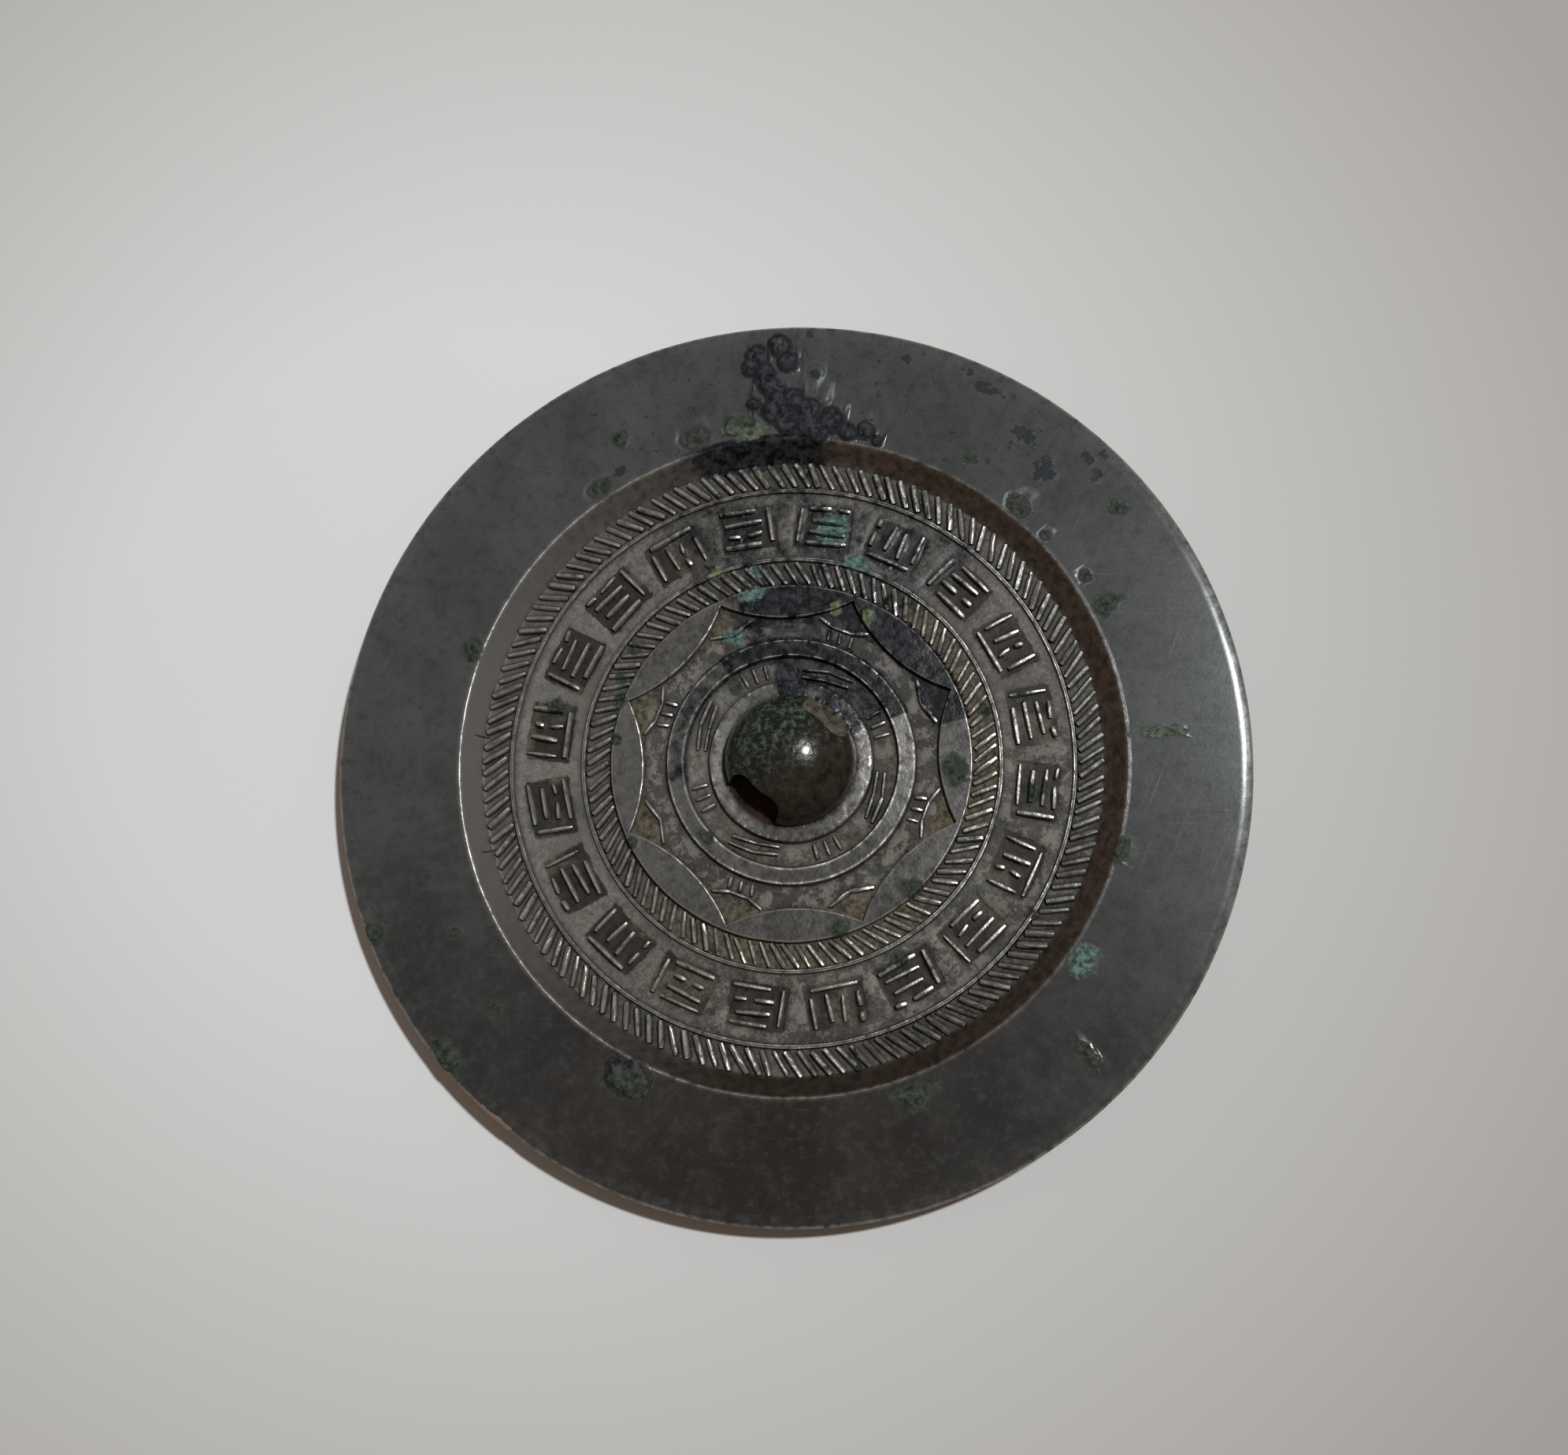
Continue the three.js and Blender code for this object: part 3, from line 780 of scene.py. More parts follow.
def refine(points, faces, wanted, rounds=6):
    """Splits the edges that are longer than wanted(middle points), until none is."""
    for _ in range(rounds):
        pairs = np.sort(faces[:, [0, 1, 1, 2, 2, 0]].reshape(-1, 2), axis=1)
        edges, where = np.unique(pairs, axis=0, return_inverse=True)
        middle = (points[edges[:, 0]] + points[edges[:, 1]]) / 2
        long = np.linalg.norm(points[edges[:, 0]] - points[edges[:, 1]], axis=1) > wanted(middle)
        if not long.any():
            break
        added = np.full(len(edges), -1)
        added[long] = len(points) + np.arange(long.sum())
        points = np.concatenate([points, middle[long]])
        faces = split_faces(faces, added[where.reshape(-1)].reshape(-1, 3))
    return points, faces


def split_faces(faces, middles):
    """Cuts each triangle along the new middles of its edges, where -1 means none."""
    marks = (middles >= 0).sum(axis=1)
    result = [faces[marks == 0]]
    for turn in range(3):
        order = [turn, (turn + 1) % 3, (turn + 2) % 3]
        a, b, c = faces[:, order].T
        ab, bc, ca = middles[:, order].T
        one = (marks == 1) & (ab >= 0)
        result.append(np.stack([a, ab, c], axis=1)[one])
        result.append(np.stack([ab, b, c], axis=1)[one])
        two = (marks == 2) & (ca < 0)
        result.append(np.stack([ab, b, bc], axis=1)[two])
        result.append(np.stack([a, ab, bc], axis=1)[two])
        result.append(np.stack([a, bc, c], axis=1)[two])
    a, b, c = faces[marks == 3].T
    ab, bc, ca = middles[marks == 3].T
    for corner in ((a, ab, ca), (ab, b, bc), (ca, bc, c), (ab, bc, ca)):
        result.append(np.stack(corner, axis=1))
    return np.concatenate(result)


def wanted_edge(middle):
    """How long an edge may be: short where corrosion or a mark needs it, long elsewhere."""
    angle, radius = picture_polar(middle)
    wanted = np.full(len(middle), FREE_EDGE)
    for patch in PATCHES:
        inside = patch_distance(patch, angle, radius) < 1.3
        fine = min(patch.along, patch.across) / 1.5
        length = RAISED_EDGE if patch.kind in RAISED else PATCH_EDGE
        wanted[inside] = np.minimum(wanted[inside], max(LEAST_EDGE, min(length, fine)))
    beside_hole = np.abs(middle[:, 1]) < HOLE_WIDTH / 2 + 0.5
    wanted[beside_hole & (radius > 3.5) & (radius < KNOB_R + 0.4)] = HOLE_EDGE
    wanted[middle[:, 2] < RIM_TOP - 2.6] = FREE_EDGE
    return wanted


def vertex_normals(points, faces):
    """The outward direction at each point."""
    a, b, c = points[faces[:, 0]], points[faces[:, 1]], points[faces[:, 2]]
    cross = np.cross(b - a, c - a)
    total = np.zeros_like(points)
    for corner in range(3):
        np.add.at(total, faces[:, corner], cross)
    return total / np.maximum(np.linalg.norm(total, axis=1, keepdims=True), 1e-12)


def edge_wear(points, faces, normals):
    """How sharply each point stands proud of its neighbours: more than 0 on ridges, less in hollows."""
    total = np.zeros(len(points))
    count = np.zeros(len(points))
    for a, b in ((0, 1), (1, 2), (2, 0)):
        i, j = faces[:, a], faces[:, b]
        step = points[j] - points[i]
        square = np.maximum((step * step).sum(axis=1), 0.01)
        np.add.at(total, i, -(step * normals[i]).sum(axis=1) / square)
        np.add.at(total, j, (step * normals[j]).sum(axis=1) / square)
        np.add.at(count, i, 1)
        np.add.at(count, j, 1)
    return total / np.maximum(count, 1)


def block_share(points, radius):
    """1 inside a block of the inscription band and 0 outside it."""
    step = 360 / BLOCKS
    turn = np.degrees(np.arctan2(points[:, 1], points[:, 0])) - BLOCK_TURN
    across = np.radians((turn + step / 2) % step - step / 2) * radius / (BLOCK_WIDTH / 2 + 0.3)
    out = (radius - (BLOCK_LOW + BLOCK_HIGH) / 2) / ((BLOCK_HIGH - BLOCK_LOW) / 2 + 0.35)
    return np.clip((1.1 - np.maximum(np.abs(across), np.abs(out))) * 7, 0, 1)


def patch_rise(patch, edge, points):
    """How far a patch stands proud of the metal, or lies below it, at each point."""
    inside = np.clip((1 - edge) * 2.5, 0, 1)
    if patch.kind == "blister":
        groove = np.exp(-(((edge - 0.95) / 0.13) ** 2))
        return patch.rise * (0.2 * np.clip(1 - edge**2, 0, 1) - 0.25 * groove)
    if patch.kind == "crust":
        return patch.rise * np.sqrt(np.clip(1.05 - edge**2, 0, 1)) * (1 + 0.5 * grain(points, 0.6, 2))
    if patch.kind == "lump":
        return patch.rise * np.clip(1 - edge**2, 0, 1)
    return 0.6 * patch.rise * inside * (0.7 + 0.5 * grain(points, 0.5, 2))


def swing(angle, towards):
    """1 on the side that lies at an angle in the picture, and -1 on the side away from it."""
    return np.cos(np.radians(angle - towards))


def wear_and_highlight_share(points, faces, normals, angle, radius):
    """How brightly each point is rubbed on ridges, rings and edges, with painted highlights added on the
    sides where the lamp's reflection falls and less sheen at the bottom of the outer comb.
    """
    height = points[:, 2]
    on_band = height > BAND_TOP - 0.05
    wear = edge_wear(points, faces, normals) * 1.1
    knob_ring = on_band & (radius > KNOB_R) & (radius < KNOB_RING_R)
    # Rubbed metal added or taken away by side, where the lamp's reflection falls: painted highlights
    wear += knob_ring * (0.25 + 0.22 * swing(2 * angle, 5))
    inner_ring = on_band & (radius > RING_INNER_R) & (radius < RING_OUTER_R)
    wear += inner_ring * 0.3 * np.clip(swing(2 * angle, 5) * swing(angle, 0), 0, 1)
    inner_edge = (radius > RIM_INNER_R - 0.7) & (radius < RIM_INNER_R + 0.6)
    wear *= np.where(inner_edge, 0.65 - 0.6 * swing(angle, 5), 1)
    outer_edge = (radius > RIM_R - 0.75) & (height > RIM_TOP - 0.5)
    wear += outer_edge * 0.22 * np.clip(4 * swing(angle, 9) - 3, 0, 1)
    outer_comb = (radius > OUTER_LINE_R + 0.4) & (radius < FIELD_R)
    low_side = np.exp(-(((angle - 272) / 22) ** 2))
    wear *= np.where(outer_comb, 1.1 + 0.4 * swing(2 * angle, 110) - 0.6 * low_side, 1)
    return np.clip(wear, 0, 1)


def patch_finishes(points, angle, radius, up):
    """Each point's share of every kind of patch, and how far the patches raise or lower it."""
    wobble = 0.45 * grain(points, 1.5, 3)
    finishes = {kind: np.zeros(len(points)) for kind in PATCH_FINISHES}
    rise = np.zeros(len(points))
    for patch in PATCHES:
        distance = patch_distance(patch, angle, radius)
        near = up & (distance < 1.5)
        loose = 0.3 if patch.kind in RAISED else 1.0
        edge = distance[near] + loose * wobble[near]
        if patch.kind in finishes:
            share = np.clip(1.6 - edge, 0, 1)
            finishes[patch.kind][near] = np.maximum(finishes[patch.kind][near], share)
        lift = patch_rise(patch, edge, points[near])
        rise[near] = np.maximum(rise[near], lift) if patch.kind == "crust" else rise[near] + lift
    return finishes, rise


def region_finishes(points, angle, radius, up):
    """Each point's share of the finishes that follow the mirror's shape and sides."""
    x, y, height = points.T
    low_ground = (height < FIELD_TOP + 0.16) & (radius < FIELD_R + 0.1) & up
    slope = ramp((radius - FIELD_R + 0.1) / 0.5) * ramp((RIM_INNER_R + 0.2 - radius) / 0.5) * up
    in_hole = (np.abs(y) < HOLE_WIDTH / 2 + 0.5) & (radius < KNOB_R + 0.3) & (height > FIELD_TOP)
    hole_floor = in_hole * np.clip((BAND_TOP + 0.45 - height) * 3, 0, 1)
    return {
        "ground": low_ground.astype(float),
        "block": block_share(points, radius) * low_ground,
        "slope": slope,
        "brown": np.clip(0.9 + 0.85 * swing(angle, -14), 0, 1) * slope,
        "left_side": np.clip(-0.75 - 1.75 * swing(angle, 0), 0, 1),
        # Darker and warmer towards the picture's bottom: painted shade
        "low_side": np.clip(-np.sin(np.radians(angle + 5)), 0, 1),
        "rim": ramp((radius - RIM_INNER_R + 0.2) / 0.5),
        "face": (height < face_height(radius) + 0.02).astype(float),
        "knob": np.clip((height - BAND_TOP - 0.15) * 4, 0, 1) * (radius < KNOB_R + 0.4),
        "knob_green": np.clip(0.6 + 0.085 * radius * swing(angle, 125), 0, 1),
        "hole_soil": hole_floor * (x > 0),
        # The floor of the near mouth, which lies in shade: dark earth and painted shade
        "hole_earth": hole_floor * (x < 0),
    }


def corrode(points, faces):
    """Gives the casting its uneven skin and corrosion, and each point its share of every finish."""
    angle, radius = picture_polar(points)
    up = points[:, 2] > FACE_RISE + EDGE_ROUND + 0.4
    normals = vertex_normals(points, faces)
    finishes, rise = patch_finishes(points, angle, radius, up)
    for name in AREAS:
        finishes[name] = area_share(name, angle, radius)
    wear = wear_and_highlight_share(points, faces, normals, angle, radius)
    finishes["wear"] = wear * (1 - finishes["dull"])
    finishes.update(region_finishes(points, angle, radius, up))
    relief = (radius < RIM_INNER_R - 0.3) & up
    flow = 0.05 * grain(points, 4.0, 2) + 0.02 * grain(points + 50, 1.2, 2)
    rise += np.where(relief, flow, 0.15 * flow) * up
    rise -= 0.1 * finishes["block"]
    hole_floor = finishes["hole_soil"] + finishes["hole_earth"]
    rise += hole_floor * np.clip((radius - 4) / 3, 0, 1) * (0.12 + 0.3 * grain(points, 1.1, 3))
    return points + normals * rise[:, None], finishes


class Paint(Nodes):
    """A material, with its textures."""

    def __init__(self, name):
        self.material = bpy.data.materials.new(name)
        self.material.use_nodes = True
        super().__init__(self.material.node_tree)
        self.shader = self.tree.nodes["Principled BSDF"]
        self.object_place = self.add("ShaderNodeTexCoord").outputs["Object"]

    def grain(self, size, detail=3.0, roughness=0.55, place=None, distortion=0.0):
        """Noise from 0 to 1 with bumps of a size in millimetres."""
        inputs = {"Scale": 1 / (size * MM), "Detail": detail, "Roughness": roughness}
        inputs.update(Vector=place or self.object_place, Distortion=distortion)
        return self.out("ShaderNodeTexNoise", inputs)

    def share(self, name):
        return self.add("ShaderNodeAttribute", attribute_name=name).outputs["Fac"]

    def broken(self, name, texture, hard=5.0, cut=0.55):
        """An attribute's area with a broken, sharp outline."""
        ragged = self.sum("ADD", self.share(name), self.sum("SUBTRACT", texture, 0.5))
        return self.times(self.sum("SUBTRACT", ragged, cut), hard, clamp=True)


# The darker and the lighter colour of each mottled finish
TONES = {
    "cool rim": ((0.064, 0.069, 0.069), (0.092, 0.098, 0.097)),
    # The rim's warm, darker tone, laid towards the bottom, is painted shade
    "warm shaded rim": ((0.027, 0.024, 0.022), (0.045, 0.041, 0.038)),
    "relief": ((0.062, 0.06, 0.056), (0.098, 0.096, 0.09)),
    "slope": ((0.04, 0.028, 0.02), (0.095, 0.07, 0.053)),
    "ground": ((0.085, 0.078, 0.068), (0.21, 0.197, 0.172)),
    "grimy ground": ((0.009, 0.008, 0.007), (0.19, 0.178, 0.15)),
    # Dark dirt and painted shade in corners and between the strokes of the blocks
    "crevice": ((0.007, 0.005, 0.004), (0.024, 0.018, 0.013)),
    "soil": ((0.03, 0.024, 0.017), (0.175, 0.147, 0.1)),
    "stain": ((0.001, 0.002, 0.003), (0.036, 0.04, 0.05)),
    "brown knob": ((0.012, 0.009, 0.007), (0.045, 0.036, 0.028)),
    "green knob": ((0.01, 0.012, 0.009), (0.1, 0.135, 0.108)),
    # Dark earth and painted shade in the near mouth of the hole
    "hole earth and shade": ((0.012, 0.007, 0.005), (0.05, 0.028, 0.02)),
    "polished face": ((0.06, 0.062, 0.06), (0.098, 0.1, 0.096)),
    "green on the face": ((0.025, 0.035, 0.025), (0.1, 0.14, 0.1)),
    "crust": ((0.002, 0.0025, 0.004), (0.026, 0.028, 0.036)),
    "blister": ((0.018, 0.02, 0.016), (0.07, 0.075, 0.062)),
    "pale": ((0.03, 0.035, 0.027), (0.14, 0.17, 0.125)),
    "green": ((0.01, 0.012, 0.009), (0.066, 0.084, 0.06)),
    "teal": ((0.03, 0.045, 0.04), (0.16, 0.26, 0.245)),
    "lime": ((0.05, 0.06, 0.035), (0.22, 0.26, 0.15)),
}
PALE_METAL = (0.15, 0.145, 0.135)
RUBBED_METAL = (0.52, 0.5, 0.46)
DARK_BLOOM = (0.014, 0.018, 0.024)


class Bronze(Paint):
    """Old cast bronze, laid on coat by coat: metal with painted shade towards the bottom, dirt and
    painted shade in the corners, wear with painted highlights, soil, stains, green corrosion and painted
    light on the crust's lumps.
    """

    def __init__(self):
        super().__init__("patinated bronze")
        self.fine = self.grain(0.35, 4.0, 0.65)
        self.small = self.grain(1.1, 4.0, 0.6)
        self.cloud = self.grain(9.0, 4.0, 0.55)
        self.speck = self.grain(0.7, 5.0, 0.7)
        self.ground = self.share("ground")
        self.rim = self.share("rim")
        self.low_side = self.share("low_side")
        self.left_side = self.share("left_side")
        self.wear = self.times(self.share("wear"), self.between(self.small, 0.3, 0.6), clamp=True)
        self.colour = self.bare_metal()
        self.scratches_and_pits()
        self.dusty_ground()
        self.slope()
        # Rubbed metal on ridges and edges, with painted highlights on some sides
        self.coat(self.wear, RUBBED_METAL)
        self.crevices()
        self.soil_and_stain()
        self.knob_patina()
        self.corrosion()
        self.underside()
        self.gloss()
        self.cast_skin()

    def coat(self, share, colour, strength=1.0):
        """Lays a colour over what is there, as strongly as the share says."""
        if strength < 1:
            share = self.times(share, strength)
        self.colour = self.mix(share, self.colour, colour)

    def tone(self, name, texture, low=0.0, high=1.0):
        """A mottled finish, dark where the texture is low and light where it is high."""
        return self.mix(self.between(texture, low, high), *TONES[name])

    def bare_metal(self):
        cool = self.tone("cool rim", self.cloud, 0.35, 0.7)
        # The rim darker and warmer towards the picture's bottom: painted shade
        shaded_rim = self.tone("warm shaded rim", self.cloud, 0.35, 0.7)
        rim = self.mix(self.low_side, cool, shaded_rim)
        rim = self.mix(self.between(self.small, 0.5, 0.75, 0.0, 0.45), rim, (0.09, 0.09, 0.086))
        rim = self.mix(self.between(self.small, 0.5, 0.25, 0.0, 0.5), rim, (0.03, 0.03, 0.03))
        relief = self.tone("relief", self.cloud, 0.35, 0.65)
        relief = self.mix(self.between(self.fine, 0.45, 0.7, 0.0, 0.5), relief, PALE_METAL)
        relief = self.mix(self.between(self.small, 0.5, 0.28, 0.0, 0.75), relief, (0.02, 0.018, 0.016))
        relief = self.mix(self.between(self.small, 0.52, 0.72, 0.0, 0.6), relief, (0.15, 0.146, 0.136))
        # The relief a little darker towards the bottom: painted shade
        relief = self.mix(self.times(self.low_side, 0.2), relief, (0.022, 0.02, 0.018))
        relief = self.mix(self.times(self.left_side, 0.22), relief, (0.17, 0.167, 0.16))
        return self.mix(self.rim, relief, rim)

    def scratches(self, degrees, width, length):
        """Thin straight scratches that all run much the same way."""
        inputs = {"Rotation": (0, 0, math.radians(degrees)), "Scale": (length / width, 1, 1)}
        inputs["Vector"] = self.object_place
        turned = self.out("ShaderNodeMapping", inputs, vector_type="TEXTURE")
        streaks = self.grain(width, 2.0, 0.5, place=turned, distortion=0.4)
        return self.between(streaks, 0.66, 0.74)

    def scratches_and_pits(self):
        lines = self.most(self.scratches(18, 0.16, 9), self.scratches(-52, 0.14, 6))
        scuffed = self.between(self.share("scuffed"), 0, 1, 0.06, 0.4)
        self.coat(self.times(lines, scuffed), (0.2, 0.2, 0.19))
        more_pits = self.between(self.share("speckled"), 0, 1, 0.0, 0.065)
        pits = self.sum("ADD", self.grain(1.3, 4.0, 0.75), more_pits)
        self.coat(self.between(pits, 0.68, 0.72), (0.014, 0.016, 0.018), 0.7)

    def dusty_ground(self):
        """The field's dusty ground, blotched with dark and paler at the left, and the grimy parts."""
        ground = self.tone("ground", self.fine, 0.35, 0.65)
        blotch = self.most(self.between(self.small, 0.5, 0.6), self.between(self.cloud, 0.5, 0.66))
        ground = self.mix(self.times(blotch, 0.62), ground, (0.03, 0.026, 0.021))
        ground = self.mix(self.times(self.left_side, 0.3), ground, (0.3, 0.29, 0.27))
        self.coat(self.ground, ground, 0.95)
        mottle = self.grain(1.7, 4.0, 0.7)
        grimy = self.times(self.share("grime"), self.ground)
        self.coat(grimy, self.tone("grimy ground", mottle, 0.48, 0.56))

    def slope(self):
        """The slope inside the rim: brown, with painted shade nearly black at the bottom and painted
        light grey at the left.
        """
        # Painted light: lighter grey on the slope's left side, which faces the lamp
        self.coat(self.times(self.share("slope"), self.left_side), (0.146, 0.139, 0.132))
        brown = self.tone("slope", self.small, 0.35, 0.65)
        # The slope nearly black towards the bottom: painted shade
        brown = self.mix(self.times(self.low_side, 0.62), brown, (0.012, 0.009, 0.007))
        self.coat(self.share("brown"), brown)

    def crevices(self):
        """Dark dirt and painted shade in every corner, and soil or dark dirt and painted shade between
        the strokes of the blocks.
        """
        # Darker the more a corner is shut in (ambient occlusion): painted shade, in the colour of dark
        # dirt
        around = self.add("ShaderNodeAmbientOcclusion", {"Distance": 0.9 * MM}, samples=6)
        corner = self.between(around.outputs["AO"], 0.55, 0.97, 1.0, 0.0)
        corner = self.times(corner, self.between(self.share("slope"), 0, 1, 0.92, 0.35))
        dirt_and_shade = self.tone("crevice", self.small, 0.4, 0.6)
        self.coat(corner, dirt_and_shade)
        soil = self.tone("soil", self.speck, 0.35, 0.65)
        filling = self.mix(self.between(self.grain(7.0), 0.52, 0.6, 0.0, 0.75), dirt_and_shade, soil)
        self.coat(self.broken("block", self.small), filling, 0.88)

    def soil_and_stain(self):
        soil = self.times(self.broken("soil", self.small, 4.0, 0.52), self.ground)
        soil = self.most(soil, self.broken("hole_soil", self.small, 4.0, 0.85))
        self.coat(soil, self.tone("soil", self.speck, 0.35, 0.65))
        stain = self.broken("stain", self.grain(1.8, 5.0, 0.65), 4.0, 0.5)
        self.stain = self.times(stain, self.between(self.wear, 0.3, 0.8, 0.95, 0.15))
        self.coat(self.stain, self.tone("stain", self.small, 0.42, 0.66))
        bloom = self.broken("dark", self.speck, 5.0, 0.78)
        dark = self.most(bloom, self.broken("crack", self.speck, 5.0, 0.6))
        self.coat(dark, DARK_BLOOM, 0.85)
        self.covered = self.most(soil, self.times(dark, 0.7))

    def knob_patina(self):
        brown = self.tone("brown knob", self.small, 0.35, 0.65)
        green = self.tone("green knob", self.speck, 0.47, 0.66)
        green_here = self.between(self.sum("ADD", self.share("knob_green"), self.small), 0.85, 1.3)
        self.coat(self.share("knob"), self.mix(green_here, brown, green))

    def corrosion(self):
        """A green tinge on the ground, each kind of patch, and painted light on the tops of the crust's
        lumps.
        """
        tinge = self.times(self.between(self.grain(4.0, 5.0, 0.7), 0.6, 0.68), self.ground)
        self.coat(tinge, (0.035, 0.055, 0.035), 0.6)
        for name in ("crust", "blister", "pale", "green", "teal", "lime"):
            part = self.broken(name, self.speck, 4.0, 0.52 if name == "crust" else 0.62)
            self.coat(part, self.tone(name, self.speck, 0.38, 0.62))
            self.covered = self.most(self.covered, part)
        # Painted light: the tops of the crust's lumps lighter, as if lit from above
        lit_lump_tops = self.between(self.share("crust"), 0.84, 1.0)
        lit_lump_tops = self.times(lit_lump_tops, self.between(self.small, 0.44, 0.58, 0.0, 0.6))
        self.coat(lit_lump_tops, (0.075, 0.079, 0.086))
        self.coat(self.broken("bare", self.speck, 5.0, 0.72), (0.3, 0.21, 0.17))
        # Dark earth and painted shade on the floor of the near mouth
        earth_and_shade = self.share("hole_earth")
        self.coat(earth_and_shade, self.tone("hole earth and shade", self.small))
        self.covered = self.most(self.covered, earth_and_shade)

    def underside(self):
        face = self.tone("polished face", self.cloud, 0.38, 0.62)
        green = self.between(self.grain(14.0, 5.0, 0.6), 0.56, 0.61, 0.0, 0.85)
        face = self.mix(green, face, self.tone("green on the face", self.speck, 0.38, 0.62))
        self.coat(self.share("face"), face)
        self.covered = self.blend(self.share("face"), self.covered, green)

    def gloss(self):
        """Smooth metal on the rim, the knob and rubbed edges, and dull dirt and corrosion."""
        knob = self.share("knob")
        rough = self.blend(self.rim, 0.34, self.between(self.fine, 0.3, 0.7, 0.155, 0.19))
        rough = self.blend(self.ground, rough, 0.5)
        rough = self.blend(knob, rough, 0.2)
        rough = self.blend(self.wear, rough, 0.3)
        rough = self.blend(self.stain, rough, 0.24)
        raised = 0.0
        for name, low in (("lump", 0.1), ("crust", 0.3), ("blister", 0.25)):
            raised = self.most(raised, self.between(self.share(name), low, low + 0.18))
        rough = self.blend(raised, rough, 0.38)
        solid_metal = self.blend(self.ground, self.blend(self.wear, 0.08, 0.95), 0.1)
        covered = self.most(self.covered, self.stain)
        look = {
            "Base Color": self.colour,
            "Roughness": self.blend(self.covered, rough, 0.8),
            "Metallic": self.blend(covered, solid_metal, 0.0),
            "Specular IOR Level": 0.2,
            "Coat Roughness": 0.14,
            "Coat Weight": self.times(knob, 0.6),
        }
        for name, value in look.items():
            self.put(value, self.shader.inputs[name])

    def cast_skin(self):
        """The grainy skin of the casting, nearly smooth on the rim and coarse where it is covered."""
        lumpy = self.sum("ADD", self.times(self.fine, 0.5), self.small)
        height = self.blend(self.rim, lumpy, self.times(lumpy, 0.08))
        height = self.blend(self.covered, height, self.times(self.speck, 2.0))
        bump = self.out("ShaderNodeBump", {"Strength": 0.7, "Distance": 0.08 * MM, "Height": height})
        self.put(bump, self.shader.inputs["Normal"])


def cast_shape(bronze):
    """Joins the disc, bands, knob and strokes into one solid and gives back its points and triangles."""
    tree = stroke_tree()
    body = disc()
    combine(body, arc_band(), "UNION")
    combine(body, knob(), "UNION")
    combine(body, hole_cutter(), "DIFFERENCE")
    outer = comb_lines(OUTER_LINE_R + COMB_GAP, FIELD_R + 0.12, OUTER_STROKES, seed=3)
    inner = comb_lines(ARC_BAND_R + 0.1, INNER_LINE_R - COMB_GAP, INNER_STROKES, seed=5)
    marks = [line for index in range(BLOCKS) for line in block_lines(index)]
    bends = []
    legs = []
    for quarter in range(4):
        turn = 90 * quarter
        arch, short = cusp_triple(CUSP_TRIPLE_TURN + turn)
        chevron = cusp_chevron(CHEVRON_TURN + turn)
        triple, pair = knob_field_marks(turn)
        bends += [arch[0], arch[2], chevron[0]] + pair[0::2]
        legs += [arch[1], chevron[1]] + pair[1::2] + short + triple
    # Each set's lines, and its strokes' width, rise and taper
    sets = [
        ("outer_comb", outer, 0.84, 0.52, 0.1),
        ("inner_comb", inner, 0.74, 0.46, 0.1),
        ("blocks", marks, 0.68, 0.55, 0.2),
        ("bends", bends, 0.6, 0.5, 0.2),
        ("legs", legs, 0.52, 0.45, 0.2),
    ]
    for seed, (name, lines, width, rise, taper) in enumerate(sets, 1):
        combine(body, strokes(name, lines, tree, bronze, width, rise, taper, seed), "UNION")
    points, faces = read_mesh(body)
    bpy.data.objects.remove(body)
    return points, faces


def build_mirror():
    """The mirror as one closed mesh in metres, with a share of each finish at every point."""
    bronze = Bronze().material
    points, faces = cast_shape(bronze)
    points, faces = refine(points, faces, wanted_edge)
    points, finishes = corrode(points, faces)
    points[:, 2] = np.maximum(points[:, 2], 0)
    mirror = new_object("bronze_mirror_body", points * MM, faces)
    mesh = mirror.data
    for name, values in finishes.items():
        mesh.attributes.new(name, "FLOAT", "POINT").data.foreach_set("value", values)
    mesh.polygons.foreach_set("use_smooth", [True] * len(mesh.polygons))
    mesh.set_sharp_from_angle(angle=math.radians(50))
    mesh.materials.append(bronze)
    return mirror


# Picture directions, turned into the mirror's own frame

def picture(x, y, z=0.0):
    """A place or direction given along the picture's sides and upwards."""
    return Matrix.Rotation(math.radians(PICTURE_TURN), 3, "Z") @ Vector((x, y, z))


def camera():
    """The camera of the picture, held a little below the mirror's middle and level with its sides."""
    place = picture(*CAMERA_PLACE) * MM
    aim = picture(*CAMERA_AIM) * MM
    forward = (aim - place).normalized()
    up = picture(1, 0).cross(forward).normalized()
    right = forward.cross(up)
    data = bpy.data.cameras.new("camera")
    data.sensor_width = 36
    data.lens = CAMERA_LENS
    data.clip_start = 0.01
    item = scene_object("camera", data)
    turn = Matrix((right, up, -forward)).transposed().to_4x4()
    item.matrix_world = Matrix.Translation(place) @ turn
    bpy.context.scene.camera = item


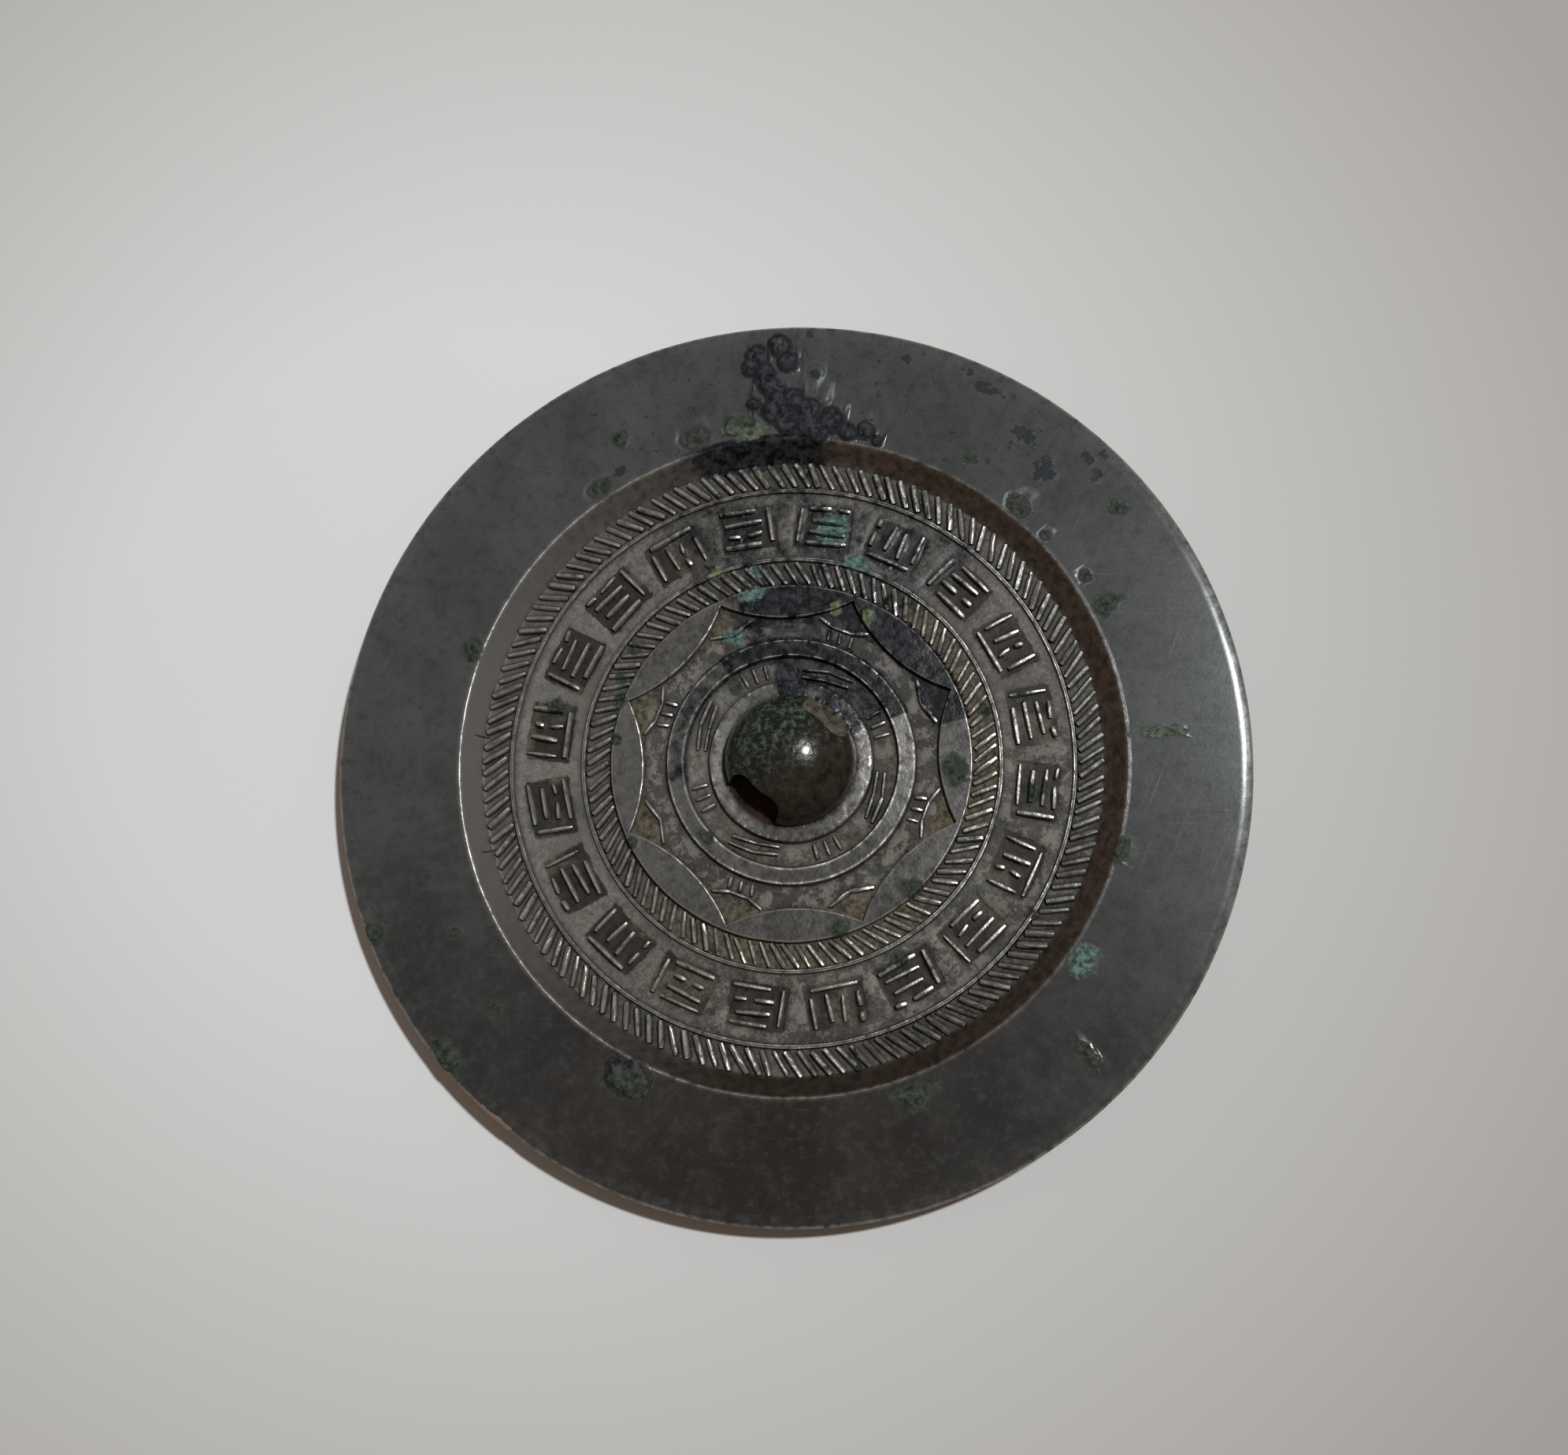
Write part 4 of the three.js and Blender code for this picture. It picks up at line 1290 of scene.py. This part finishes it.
def floor():
    """The sheet of pale paper, with painted light brightest above and to the left of the mirror in the
    picture and painted shade further away.
    """
    paint = Paint("pale paper")
    places = {0: paint.object_place, 1: picture(*PAINTED_LIGHT_SPOT) * MM}
    away = paint.add("ShaderNodeVectorMath", places, operation="DISTANCE")
    # Painted light: the paper dims away from its bright spot
    painted_dimming = paint.between(away.outputs["Value"], 0.042, 0.16)
    shade = paint.mix(painted_dimming, PAPER_PAINTED_LIT, PAPER_PAINTED_DIM)
    paint.put(shade, paint.shader.inputs["Base Color"])
    paint.shader.inputs["Roughness"].default_value = 0.9
    half = PAPER_HALF * MM
    corners = [(-half, -half, 0), (half, -half, 0), (half, half, 0), (-half, half, 0)]
    item = new_object("floor", corners, [(0, 1, 2, 3)])
    item.data.materials.append(paint.material)


def area_light(name, azimuth, elevation, distance, size, power, colour):
    """A square soft light that looks at the mirror from a direction in the picture."""
    away = picture(*polar(math.cos(math.radians(elevation)), azimuth), math.sin(math.radians(elevation)))
    data = bpy.data.lights.new(name, "AREA")
    data.size = size
    data.energy = power
    data.color = colour
    item = scene_object(name, data)
    item.location = away * distance
    item.rotation_euler = away.to_track_quat("Z", "Y").to_euler()


def lights():
    """One cool light from the picture's upper right, in a room that is brighter at the top left."""
    world = bpy.data.worlds.new("soft room")
    world.use_nodes = True
    nodes = Nodes(world.node_tree)
    direction = nodes.add("ShaderNodeTexCoord").outputs["Generated"]
    sides = {0: direction, 1: picture(*ROOM_BRIGHT_SIDE)}
    facing = nodes.add("ShaderNodeVectorMath", sides, operation="DOT_PRODUCT").outputs["Value"]
    shade = nodes.mix(nodes.between(facing, -0.7, 0.8), ROOM_DIM, ROOM_BRIGHT)
    back = nodes.tree.nodes["Background"]
    nodes.put(shade, back.inputs[0])
    nodes.put(ROOM_STRENGTH, back.inputs[1])
    bpy.context.scene.world = world
    bpy.context.scene.view_settings.view_transform = "Standard"
    area_light(
        "key", azimuth=33, elevation=66.5, distance=1.2, size=0.07, power=10.0, colour=(0.94, 0.98, 1.0)
    )


mirror = build_mirror()
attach(mirror, "root")
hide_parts("bronze_mirror")
floor()
camera()
lights()
